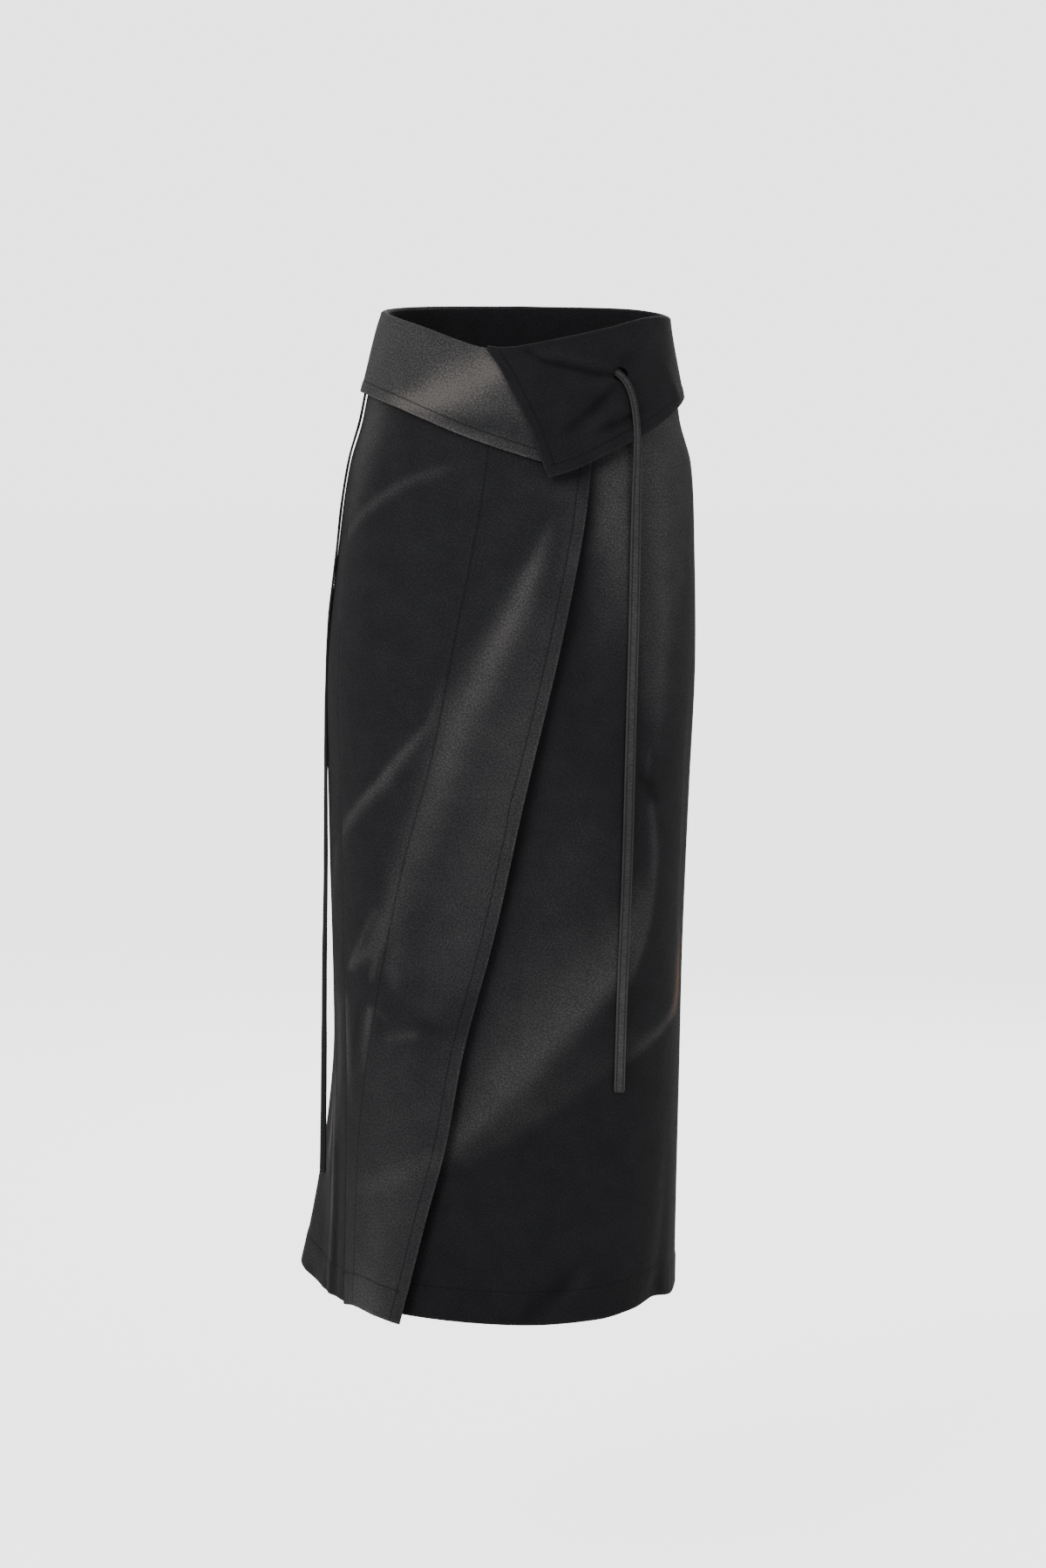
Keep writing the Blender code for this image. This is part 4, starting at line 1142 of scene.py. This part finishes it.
OVER_CREASES = (
    (Dab(-18.0, -0.62, 10, 10, 0.1), Dab(-22.0, -0.66, 12, 12, 0.8), Dab(-30.0, -0.72, 12, 12, 0.9),
     Dab(-40.0, -0.76, 10, 10, 0.1)),
    (Dab(-36.0, -0.30, 12, 12, 0.1), Dab(-44.0, -0.38, 12, 12, 0.8), Dab(-56.0, -0.43, 10, 10, 0.8),
     Dab(-64.0, -0.46, 8, 8, 0.2)),
    (Dab(-26.0, -0.11, 10, 10, 0.2), Dab(-40.0, -0.122, 10, 10, 0.7), Dab(-56.0, -0.145, 10, 10, 0.6),
     Dab(-66.0, -0.165, 8, 8, 0.1)),
    (Dab(2.0, -0.20, 10, 10, 0.1), Dab(-8.0, -0.27, 12, 12, 0.6), Dab(-18.0, -0.34, 12, 12, 0.5),
     Dab(-28.0, -0.42, 10, 10, 0.1)),
    (Dab(-40.0, -0.80, 10, 10, 0.1), Dab(-44.0, -0.84, 12, 12, 0.8), Dab(-46.0, -0.875, 12, 12, 1.0)),
)


def layer_lift(angle, height):
    """Lift of the over front: flush at the side seam, over the under front, off it at its free edge."""
    seam = left_side_seam(height)
    climb = soft_step((angle - seam) / (under_edge(height) - CLIMB_SPARE - seam))
    edge = wrap_edge(height)
    near_edge = soft_step(1.0 - (edge - angle) * degree_length(edge, height) / WRAP_REACH)
    return LAYER_STEP * climb + read_table(WRAP_STAND_OFF, height, "amount") * near_edge


def over_lift(angle, height):
    """The over front's outer face, with its creases and its swollen edges."""
    edge = wrap_edge(height)
    from_edge = (edge - angle) * degree_length(edge, height)
    turned = WRAP_SWELL * soft_step((WRAP_TURNING - from_edge) / 0.002) * soft_step((-0.02 - height) / 0.03)
    off_seam = soft_step((angle - left_side_seam(height)) / 6.0)
    creases = brushed(OVER_CREASES, angle, height)[0] / MM_PER_METRE * off_seam
    return layer_lift(angle, height) + creases + turned + hem_lift(over_hem, angle, height)


def over_surface(angle, height):
    """The over front's outer face."""
    return skin_point(angle, height, over_lift(angle, height))


OVER_WASH_AND_SHADOW = (
    # Painted shadow cast by the black flap's lower edge.
    (Dab(11.0, -0.1190, 5, 5, -5), Dab(17.0, -0.1145, 6, 6, -11), Dab(22.5, -0.1075, 6, 6, -13)),
    (Dab(9.4, -0.1554, 4.0, 6.4, 6), Dab(6.1, -0.1802, 6.4, 9.6, 22), Dab(1.9, -0.2080, 10.4, 11.2, 33),
     Dab(-2.0, -0.2367, 13.6, 14.4, 33),
     Dab(-9.5, -0.2811, 16.8, 17.6, 30), Dab(-17.1, -0.3266, 19.2, 20.8, 27),
     Dab(-23.0, -0.3738, 19.2, 20.8, 23), Dab(-28.8, -0.4213, 17.6, 19.2, 19),
     Dab(-35.0, -0.4614, 14.4, 17.6, 18), Dab(-41.9, -0.5100, 11.2, 16.0, 19),
     Dab(-50.0, -0.5420, 7.2, 11.2, 20), Dab(-60.6, -0.5609, 4.0, 4.8, 18)),
    (Dab(15.7, -0.1864, 12, 20, 6), Dab(8.7, -0.2793, 32, 32, 12), Dab(0.6, -0.3570, 44, 36, 18),
     Dab(-5.7, -0.4351, 52, 36, 16),
     Dab(-13.3, -0.5059, 56, 32, 15), Dab(-19.9, -0.5536, 48, 32, 13), Dab(-25.4, -0.5820, 32, 24, 8)),
    (Dab(-22.6, -0.2956, 2.4, 3.2, 3), Dab(-27.1, -0.3365, 4.0, 5.5, 13), Dab(-36.4, -0.3648, 5.0, 8.0, 24),
     Dab(-43.8, -0.3886, 5.0, 9.0, 28),
     Dab(-54.7, -0.4134, 5.0, 9.0, 23), Dab(-63.6, -0.4303, 5.0, 9.0, 21),
     Dab(-74.0, -0.4551, 6.0, 8.0, 18)),
    (Dab(-20.1, -0.1037, 4.8, 4.8, 3), Dab(-28.4, -0.1099, 5.6, 5.6, 11), Dab(-38.9, -0.1195, 5.5, 6.4, 15),
     Dab(-48.9, -0.1322, 5.5, 6.4, 17),
     Dab(-61.6, -0.1508, 5.6, 7, 16), Dab(-71.1, -0.1655, 6, 7, 12)),
    (Dab(-66.8, -0.0486, 28, 32, 26), Dab(-67.6, -0.0786, 26, 30, 27), Dab(-69.3, -0.1180, 20, 26, 16),
     Dab(-72.8, -0.1658, 14, 16, 8)),
    (Dab(0.6, -0.1245, 9.6, 9.6, 2), Dab(11.8, -0.1291, 11.2, 9.6, 7), Dab(18.5, -0.1354, 9.6, 8.0, 10),
     Dab(17.8, -0.1555, 16.0, 16.0, 9),
     Dab(15.7, -0.1942, 12.8, 16.0, 6)),
    (Dab(-47.4, -0.5079, 4.8, 4.8, 8), Dab(-54.7, -0.5368, 4.0, 4.8, 14), Dab(-60.5, -0.5544, 3.2, 4.0, 18),
     Dab(-63.3, -0.5633, 2.4, 3.2, 18)),
    (Dab(-43.7, -0.5302, 4.8, 6.4, 8), Dab(-47.2, -0.5508, 4.8, 5.6, 12),
     Dab(-49.4, -0.5673, 4.0, 4.8, 16)),
    (Dab(-70.4, -0.5800, 6.4, 8.0, -2), Dab(-57.2, -0.5759, 8.0, 9.6, -2), Dab(-44.1, -0.5859, 9.6, 9.6, 2),
     Dab(-34.3, -0.5980, 8.0, 9.6, -3),
     Dab(-27.6, -0.6099, 7.2, 7.2, -7), Dab(-19.9, -0.6125, 6.4, 6.4, -2)),
    (Dab(-50.5, -0.5996, 5.6, 5.6, 26), Dab(-52.0, -0.6161, 6.4, 6.4, 22),
     Dab(-53.8, -0.6372, 5.6, 6.4, 14), Dab(-54.5, -0.6560, 5, 6, 5)),
    (Dab(-38.2, -0.5262, 9, 10, 6), Dab(-39.5, -0.5425, 10, 11, 14), Dab(-40.5, -0.5585, 9, 11, 14),
     Dab(-40.0, -0.5727, 7, 8, 9)),
    (Dab(-46.8, -0.5993, 4.0, 4.8, 8), Dab(-43.5, -0.6040, 4.0, 4.0, 6)),
    (Dab(-42.5, -0.6230, 4.8, 5.6, 9), Dab(-35.6, -0.6189, 4.8, 5.6, 15),
     Dab(-32.7, -0.6176, 4.8, 4.8, 14)),
    (Dab(-67.2, -0.5946, 12, 8, 22), Dab(-67.0, -0.6229, 12, 8, 29), Dab(-66.5, -0.6512, 12, 8, 23),
     Dab(-65.5, -0.6788, 12, 9, 8)),
    (Dab(-56.9, -0.5935, 3.2, 3.2, -6), Dab(-59.1, -0.6263, 4.0, 4.0, -8),
     Dab(-61.4, -0.6552, 4.0, 4.0, -4)),
    (Dab(-17.3, -0.6287, 17.6, 9.6, 10), Dab(-19.4, -0.6557, 27.2, 11.2, 10),
     Dab(-22.0, -0.6876, 35.2, 14.4, 9), Dab(-25.1, -0.7275, 40.0, 19.2, 8),
     Dab(-30.4, -0.7761, 48.0, 24.0, 8), Dab(-35.2, -0.8251, 48.0, 24.0, 6)),
    (Dab(-44.5, -0.6537, 32, 40, 11), Dab(-44.4, -0.7255, 40, 40, 11), Dab(-47.6, -0.7906, 40, 40, 14),
     Dab(-50.7, -0.8360, 40, 40, 18),
     Dab(-50.7, -0.8560, 40, 40, 25), Dab(-50.7, -0.8800, 40, 40, 31)),
    (Dab(-64.5, -0.7754, 11.2, 9.6, 4), Dab(-40.3, -0.7495, 12.8, 11.2, 8),
     Dab(-26.4, -0.7278, 11.2, 9.6, 8)),
)

wrap_heights = np.linspace(-0.8825, -0.010, 90)
seam_heights = np.linspace(-0.8755, -0.020, 80)
over_rows = [
    (beside(wrap_edge, wrap_heights, -WRAP_TURNING), wrap_heights),
    (beside(panel_seam, seam_heights, PANEL_STITCH), seam_heights),
    row_above(over_hem, -66.8, -36.0, 30, HEM_DEPTH),
]


def plain_grey(level):
    """One grey all over a piece."""
    return lambda angle, height: level + 0.0 * angle


over_paint = washed(plain_grey(38.0), OVER_WASH_AND_SHADOW, over_rows)

mesh = panel_wall(
    columns=52, rows=250, start=left_side_seam, end=panel_seam, hem=over_hem, top=left_roll_height,
    lift=over_lift, paint=over_paint, middle=-30.0, paled=(14, 4, 12, 0),
)
round_rims(mesh)
over_side_cloth = finished_piece("over_side_front_cloth", mesh, charcoal_twill)
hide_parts("over_side_front")

mesh = panel_wall(
    columns=52, rows=250, start=panel_seam, end=wrap_edge, hem=over_hem, top=left_roll_height,
    lift=over_lift, paint=over_paint, middle=-30.0,
    start_band=(1, PANEL_STITCH), end_band=(4, WRAP_TURNING), paled=(4, 16, 14, 0),
)
round_rims(mesh)
over_centre_cloth = finished_piece("over_centre_front_cloth", mesh, charcoal_twill)
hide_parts("over_centre_front")

over_stitches = sewing("over_front_topstitching", over_surface, over_rows, charcoal_thread)


# Fold-over of the back
# The top of the back panel, turned outwards and down over it, with its edge turned in and
# topstitched 10 mm above it.

FALL_STAND_OFF = 0.0012
FALL_CURVE = 1.5
FALL_SOFTENS = 0.012
FOLD_JOIN = 96.0
ROLL_ROWS = 12
FALL_TURNING = 0.010
TURNING_SOFTENS = 0.003
FALL_BAND_ROWS = 4

BACK_FALL_EDGE = (
    Line(90.0, -0.0420), Line(120.0, -0.0350), Line(180.0, -0.0320), Line(240.0, -0.0340),
    Line(270.0, -0.0370),
)
back_fall_edge = line_height(BACK_FALL_EDGE)

# What gives a fold-over its form: the lift of the cloth it rolls off, its roll's radius and height,
# its lower edge, and its own creases
Fall = namedtuple("Fall", "body_lift roll roll_height edge extra")


def fall_surface(fall):
    """The outer face of a fold-over where it hangs down."""
    body_lift, roll, roll_height, edge, extra = fall

    def surface(angle, height):
        middle = roll_height(angle)
        fallen = np.clip((middle - height) / (middle - edge(angle)), 0.0, 1.0)
        below = soft_step((middle - height) / FALL_SOFTENS)
        off_body = FALL_STAND_OFF * fallen**FALL_CURVE + extra(angle, height) * below
        return skin_point(angle, height, body_lift(angle, middle) + 2.0 * roll(angle) + off_body)

    return surface


def fold_wall(
    columns, fall_rows, start, end, fall, paint, middle_angle, start_band=NO_BAND, paled=(0, 0, 10, 0),
):
    """The top of a panel, rolled outwards over its top line and hanging down outside."""
    rows = ROLL_ROWS + fall_rows
    body_lift, roll, roll_height, edge, _ = fall
    surface = fall_surface(fall)

    def place(across, up, inner):
        step = (1.0 - up) * rows
        height = np.zeros_like(across)
        fallen = np.clip((step - ROLL_ROWS) / fall_rows, 0.0, 1.0)
        for _ in range(PLACE_ROUNDS):
            first, last = beside(start, height, SEAM_GAP / 2), beside(end, height, -SEAM_GAP / 2)
            start_width = start_band[1] / degree_length(first, height)
            angle = first + spread(across, last - first, (start_band[0] / columns, start_width), NO_BAND)
            middle = roll_height(angle)
            edge_band = (FALL_BAND_ROWS / fall_rows, FALL_TURNING)
            height = middle - spread(fallen, middle - edge(angle), NO_BAND, edge_band)
        radius = roll(angle)
        centre = body_lift(angle, middle) - WALL / 2 + radius
        turn = math.pi * np.clip(1.0 - step / ROLL_ROWS, 0.0, 1.0)
        reach = radius + np.where(inner, -WALL / 2, WALL / 2)
        rolled = skin_point(angle, middle, centre + reach * np.cos(turn))
        rolled[:, 2] += reach * np.sin(turn)
        depth = np.where(inner, WALL, 0.0)[:, None]
        hung = surface(angle, height) - outward(body_point, angle, height) * depth
        run = np.where(step <= ROLL_ROWS, radius * turn, height - middle)
        return np.where((step <= ROLL_ROWS)[:, None], rolled, hung), angle, height, run

    return cloth_wall(columns, rows, place, paint, middle_angle, paled)


def flat_lift(angle, height):
    """Lift of a front or back that lies next to the body."""
    return 0.0 * angle


def plain_roll(angle):
    """Radius of the fold at the back."""
    return ROLL_RADIUS + 0.0 * angle


def turned_edge(edge, angle, height):
    """How much a fold-over's turned-in lower edge swells."""
    return HEM_SWELL * soft_step((edge(angle) + FALL_TURNING - height) / TURNING_SOFTENS)


def fixed_angle(angle):
    """An edge that runs down at one angle."""
    return lambda height: angle + 0.0 * height


BACK_FALL_CREASES = (
    (Dab(112.0, 0.020, 14, 14, 0.2), Dab(118.0, 0.000, 16, 16, 1.2), Dab(124.0, -0.040, 16, 16, 1.6)),
    (Dab(150.0, 0.020, 14, 14, 0.0), Dab(148.0, -0.005, 16, 16, 0.8), Dab(146.0, -0.035, 16, 16, 1.2)),
    (Dab(188.0, 0.025, 18, 18, 0.1), Dab(184.0, 0.000, 20, 20, 1.0), Dab(182.0, -0.035, 20, 20, 1.8)),
    (Dab(226.0, 0.020, 16, 16, 0.1), Dab(230.0, -0.005, 18, 18, 1.0), Dab(234.0, -0.038, 18, 18, 1.4)),
)


def back_fall_extra(angle, height):
    """The soft waves of the back's fold-over, and its turned edge."""
    waves = brushed(BACK_FALL_CREASES, angle, height)[0] / MM_PER_METRE
    return waves + turned_edge(back_fall_edge, angle, height)


BACK_FALL_WASH = (
    (Dab(264.0, 0.020, 18, 18, 22), Dab(256.0, -0.005, 24, 24, 20), Dab(240.0, -0.030, 18, 18, 10)),
    (Dab(226.0, 0.035, 14, 16, 6), Dab(214.0, 0.010, 18, 20, 18), Dab(198.0, -0.015, 18, 20, 22),
     Dab(184.0, -0.033, 14, 14, 10)),
    (Dab(140.0, 0.034, 14, 14, 4), Dab(148.0, 0.010, 16, 16, 12), Dab(160.0, -0.020, 14, 14, 8)),
    (Dab(258.0, -0.028, 4, 4, 12), Dab(240.0, -0.026, 4, 4, 10), Dab(210.0, -0.025, 4, 4, 5)),
)


def back_fall_base(angle, height):
    """Black beside the flap, and washed grey towards the left."""
    return 31.0 + 24.0 * soft_step((angle - 130.0) / 130.0)


back_fall_row = row_above(back_fall_edge, 96.6, 263.4, 70, FALL_TURNING)
back_fall = Fall(flat_lift, plain_roll, back_top, back_fall_edge, back_fall_extra)
mesh = fold_wall(
    columns=112, fall_rows=20, start=fixed_angle(FOLD_JOIN), end=fixed_angle(360.0 - FOLD_JOIN),
    fall=back_fall, paint=washed(back_fall_base, BACK_FALL_WASH, [back_fall_row]), middle_angle=180.0,
)
round_rims(mesh)
back_fall_cloth = finished_piece("fold_back_cloth", mesh, charcoal_twill)
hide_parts("fold_back")
back_fall_stitches = sewing(
    "fold_back_topstitching", fall_surface(back_fall), [back_fall_row], charcoal_thread,
)


# Fold-over of the over front
# The washed charcoal top of the wrap, turned outwards and down. It runs on under the black flap.

UNDER_FLAP_ANGLE = -18.0
LEFT_ROW_ENDS = 12.0

LEFT_FALL_EDGE = (
    Line(-100.0, -0.0355), Line(-88.0, -0.0370), Line(-70.0, -0.0410), Line(-51.0, -0.0500),
    Line(-37.0, -0.0610), Line(-17.0, -0.0805),
    Line(5.0, -0.0997), Line(16.0, -0.1075),
)
LEFT_FALL_END = (Edge(0.040, 0.0720), Edge(0.000, 0.0680), Edge(-0.050, 0.0560), Edge(-0.110, 0.0330))
left_fall_edge = line_height(LEFT_FALL_EDGE)
left_fall_end = edge_angle(LEFT_FALL_END)

LEFT_FALL_CREASES = (
    (Dab(-74.0, 0.015, 12, 12, 0.2), Dab(-76.0, -0.010, 14, 14, 1.0), Dab(-78.0, -0.038, 14, 14, 1.6)),
    (Dab(-50.0, 0.000, 14, 14, 0.1), Dab(-46.0, -0.025, 14, 14, -0.4), Dab(-44.0, -0.050, 12, 12, -0.5)),
    (Dab(-30.0, -0.010, 16, 16, 0.2), Dab(-26.0, -0.035, 16, 16, 0.6), Dab(-24.0, -0.065, 14, 14, 0.8)),
)


def left_fall_extra(angle, height):
    """The soft waves of the left fold-over, and its turned edge. It lies flat under the flap."""
    waves = brushed(LEFT_FALL_CREASES, angle, height)[0] / MM_PER_METRE
    free = soft_step((UNDER_FLAP_ANGLE - angle) / 8.0 + height / -0.02)
    return (waves + turned_edge(left_fall_edge, angle, height)) * free


LEFT_FALL_WASH = (
    (Dab(-6.5, -0.0024, 9.6, 8.0, 14), Dab(-11.4, -0.0193, 19.2, 16.0, 36),
     Dab(-18.3, -0.0301, 22.4, 17.6, 31), Dab(-26.1, -0.0394, 20.8, 16.0, 37),
     Dab(-34.2, -0.0471, 16.0, 12.8, 39), Dab(-42.7, -0.0494, 11.2, 8.0, 33),
     Dab(-53.5, -0.0447, 7.2, 6.4, 5), Dab(-68.4, -0.0383, 4.0, 4.0, -9)),
    (Dab(8.4, -0.0997, 16.0, 16.0, -14), Dab(1.2, -0.0796, 19.2, 16.0, -14),
     Dab(-6.8, -0.0688, 12.8, 12.8, -16), Dab(-15.8, -0.0680, 8.0, 8.0, -12),
     Dab(-25.2, -0.0642, 6.4, 5.6, -8)),
    (Dab(-62.2, -0.0439, 4.0, 4.0, 1), Dab(-47.6, -0.0525, 4.0, 4.0, 4), Dab(-35.3, -0.0626, 4.0, 4.0, 8),
     Dab(-24.9, -0.0727, 4.0, 4.0, 8),
     Dab(-11.0, -0.0858, 4.0, 4.0, 4)),
)


def left_fall_base(angle, height):
    """Washed grey, paler to the left."""
    return 64.0 + 5.0 * soft_step((-35.0 - angle) / 30.0)


left_fall_row = row_above(left_fall_edge, -95.4, 20.0, 60, FALL_TURNING)
left_fall = Fall(layer_lift, left_roll, left_roll_height, left_fall_edge, left_fall_extra)
mesh = fold_wall(
    columns=104, fall_rows=28, start=fixed_angle(-FOLD_JOIN), end=left_fall_end, fall=left_fall,
    paint=washed(left_fall_base, LEFT_FALL_WASH, [left_fall_row]), middle_angle=-40.0, paled=(0, 0, 14, 0),
)
round_rims(mesh)
left_fall_cloth = finished_piece("fold_left_cloth", mesh, charcoal_twill)
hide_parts("fold_left")
sewn = left_fall_row[0] < LEFT_ROW_ENDS
left_fall_stitches = sewing(
    "fold_left_topstitching", fall_surface(left_fall),
    [(left_fall_row[0][sewn], left_fall_row[1][sewn])], charcoal_thread,
)


# Black flap
# The pointed top of the under front, turned out over the wrap. It is the same twill, still black
# because the wash did not reach it. The tie is drawn through a hole in it, which gathers the cloth.

HOLE_HALF_WIDTH = 0.0075
HOLE_HALF_HEIGHT = 0.0064
HOLE_DIMPLE = 0.0025
HOLE_DIMPLE_RADIUS = 0.022
HOLE_SIDES = 28
HOLE_CUT_DEPTH = WALL * 5
FLAP_SIDE_SOFTENS = 1.2

FLAP_FALL_EDGE = (
    Line(5.0, -0.1175), Line(16.5, -0.1085), Line(31.5, -0.0900), Line(45.0, -0.0760), Line(63.0, -0.0580),
    Line(78.0, -0.0470),
    Line(90.0, -0.0420), Line(100.0, -0.0400),
)
FLAP_EDGE = (
    Edge(0.010, -0.0340), Edge(0.000, -0.0310), Edge(-0.0155, -0.0200), Edge(-0.035, -0.0100),
    Edge(-0.076, 0.0095), Edge(-0.098, 0.0165),
    Edge(-0.118, 0.0250),
)
FLAP_CREASES = (
    (Dab(1.9, -0.0024, 5, 5, -0.5), Dab(8.8, -0.0124, 5, 5, -1.4), Dab(18.3, -0.0178, 5, 5, -1.8),
     Dab(27.6, -0.0231, 5, 5, -1.8),
     Dab(33.4, -0.0239, 5, 5, -1.2)),
    (Dab(33.6, -0.0355, 5, 5, -1.2), Dab(26.1, -0.0510, 6, 6, -1.6), Dab(17.9, -0.0688, 7, 7, -1.2),
     Dab(12.2, -0.0819, 7, 7, -0.4)),
    (Dab(39.1, -0.0129, 4.8, 4.8, -1.6), Dab(45.4, -0.0043, 6.4, 6.4, -1.2),
     Dab(56.0, 0.0014, 7.2, 7.2, -0.4)),
    (Dab(45.7, -0.0549, 6, 6, -0.8), Dab(39.0, -0.0626, 6, 6, -1.6), Dab(30.9, -0.0719, 7, 7, -1.6),
     Dab(22.9, -0.0804, 7, 7, -0.4)),
    (Dab(6.0, -0.0040, 8, 9, 1.4), Dab(14.0, -0.0060, 9, 9, 2.4), Dab(24.0, -0.0110, 9, 8, 2.4),
     Dab(32.0, -0.0150, 7, 6, 1.4)),
    (Dab(4.0, -0.0220, 9, 10, 1.0), Dab(12.0, -0.0300, 10, 10, 2.0), Dab(20.0, -0.0350, 10, 10, 2.2),
     Dab(28.0, -0.0360, 8, 8, 1.4)),
    (Dab(34.0, -0.0480, 6, 6, 0.6), Dab(30.0, -0.0590, 7, 7, 1.8), Dab(22.0, -0.0740, 8, 8, 1.8),
     Dab(13.0, -0.0900, 8, 8, 0.6)),
    (Dab(62.0, -0.0100, 8, 8, 0.3), Dab(66.0, -0.0250, 9, 9, 1.0), Dab(70.0, -0.0400, 9, 9, 1.2)),
    (Dab(12.0, -0.1150, 14, 14, 2.4), Dab(22.0, -0.1010, 14, 14, 1.8), Dab(38.0, -0.0860, 12, 12, 1.2),
     Dab(60.0, -0.0620, 10, 10, 0.6)),
)

flap_fall_edge = line_height(FLAP_FALL_EDGE)
flap_edge = edge_angle(FLAP_EDGE)
hole_angle = float(angle_at(np.array([HOLE_X]), np.array([HOLE_HEIGHT]))[0])
hole_scale = float(degree_length(np.array([hole_angle]), np.array([HOLE_HEIGHT]))[0])


def flap_extra(angle, height):
    """The flap's creases, its turned edges, and the dimple that the tie pulls in round its hole."""
    across = (angle - hole_angle) * hole_scale
    away = np.hypot(across, height - HOLE_HEIGHT) / HOLE_DIMPLE_RADIUS
    dimple = HOLE_DIMPLE * np.clip(1.0 - away**2, 0.0, 1.0) ** 2
    side_turning = FALL_TURNING / degree_length(angle, height)
    side = HEM_SWELL * soft_step((flap_edge(height) + side_turning - angle) / FLAP_SIDE_SOFTENS)
    turned = np.maximum(turned_edge(flap_fall_edge, angle, height), side)
    return brushed(FLAP_CREASES, angle, height)[0] / MM_PER_METRE + turned - dimple


# The black flap's painted shade in its creases, and painted highlights on its ridges and at its top.
FLAP_SHADE_AND_HIGHLIGHTS = (
    # Painted shade in the creases.
    (Dab(1.9, -0.0024, 3, 3, -4), Dab(8.8, -0.0124, 2.5, 2.5, -11), Dab(18.3, -0.0178, 2.5, 2.5, -13),
     Dab(27.6, -0.0231, 2.5, 2.5, -13), Dab(33.4, -0.0239, 3, 3, -10)),
    (Dab(33.6, -0.0355, 4, 4, -7), Dab(26.1, -0.0510, 5, 5, -12), Dab(18.5, -0.0670, 5, 5, -10),
     Dab(12.2, -0.0790, 5, 5, -1)),
    (Dab(45.7, -0.0549, 3, 3, -4), Dab(39.0, -0.0615, 3, 3, -11), Dab(31.5, -0.0690, 4, 4, -11),
     Dab(25.0, -0.0750, 4, 4, -2)),
    (Dab(38.0, -0.0160, 5, 5, -6), Dab(42.0, -0.0080, 5, 5, -4)),
    # Painted highlights along the ridges between the creases.
    (Dab(6.0, -0.0050, 4, 5, 3), Dab(14.0, -0.0060, 4, 5, 5), Dab(24.0, -0.0120, 4, 4, 5),
     Dab(32.0, -0.0160, 4, 4, 4)),
    (Dab(20.0, -0.0330, 7, 7, 3), Dab(28.0, -0.0330, 6, 6, 4), Dab(33.0, -0.0290, 5, 5, 2)),
    (Dab(36.0, -0.0480, 4, 4, 3), Dab(30.0, -0.0600, 4, 4, 5), Dab(22.0, -0.0740, 4, 4, 3)),
    # Painted highlight across the top of the flap, and a faint one lower down.
    (Dab(60.0, 0.010, 22, 22, 4), Dab(80.0, -0.010, 20, 20, 5), Dab(88.0, -0.030, 14, 14, 6)),
    (Dab(20.0, -0.060, 16, 16, 1), Dab(28.0, -0.080, 18, 18, 2)),
)

flap_side_heights = np.linspace(-0.103, -0.004, 40)
flap_rows = [
    row_above(flap_fall_edge, 9.6, 95.4, 60, FALL_TURNING),
    (beside(flap_edge, flap_side_heights, FALL_TURNING), flap_side_heights),
]
BLACK_TONES = ("#0c0c0e", "#1c1c1e", "#2c2c2d", "#3f3e3d", "#504e4c")
black_twill = twill_material("unwashed_black_cotton_twill", BLACK_TONES, 1.5, 0.88)
black_thread = thread_material("black_polyester_thread", "#0a0a0b")

flap_fall = Fall(flat_lift, flap_roll, flap_roll_height, flap_fall_edge, flap_extra)
mesh = fold_wall(
    columns=156, fall_rows=60, start=flap_edge, end=fixed_angle(FOLD_JOIN), fall=flap_fall,
    paint=washed(plain_grey(31.0), FLAP_SHADE_AND_HIGHLIGHTS, flap_rows), middle_angle=40.0,
    start_band=(4, FALL_TURNING), paled=(16, 0, 14, 0),
)
flap_cloth = finished_piece("fold_right_cloth", mesh, black_twill)

flap_face = fall_surface(flap_fall)
hole_place = np.array([hole_angle]), np.array([HOLE_HEIGHT])
hole_out = Vector(outward(body_point, *hole_place)[0])
straight_up = Vector((0.0, 0.0, 1.0))
turn = Matrix((straight_up.cross(hole_out), straight_up, hole_out)).transposed().to_4x4()
shape = Matrix.Diagonal((HOLE_HALF_WIDTH, HOLE_HALF_HEIGHT, 1.0, 1.0))
cutter_mesh = bmesh.new()
bmesh.ops.create_cone(
    cutter_mesh, cap_ends=True, segments=HOLE_SIDES, radius1=1.0, radius2=1.0, depth=HOLE_CUT_DEPTH,
    matrix=Matrix.Translation(Vector(flap_face(*hole_place)[0]) - hole_out * (WALL / 2)) @ turn @ shape,
)
cutter_data = bpy.data.meshes.new("hole_cutter")
cutter_mesh.to_mesh(cutter_data)
cutter_mesh.free()
hole_cutter = bpy.data.objects.new("hole_cutter", cutter_data)
bpy.context.scene.collection.objects.link(hole_cutter)
cut = flap_cloth.modifiers.new("tie hole", "BOOLEAN")
cut.operation = "DIFFERENCE"
cut.solver = "EXACT"
cut.object = hole_cutter
cut_flap = bpy.data.meshes.new_from_object(flap_cloth.evaluated_get(bpy.context.evaluated_depsgraph_get()))
flap_cloth.modifiers.clear()
bpy.data.objects.remove(hole_cutter, do_unlink=True)
mesh = bmesh.new()
mesh.from_mesh(cut_flap)
mesh.normal_update()
round_rims(mesh)
mesh.to_mesh(flap_cloth.data)
mesh.free()
flap_cloth.data.shade_smooth()
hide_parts("fold_right")

flap_stitches = sewing("fold_right_topstitching", flap_face, flap_rows, black_thread)
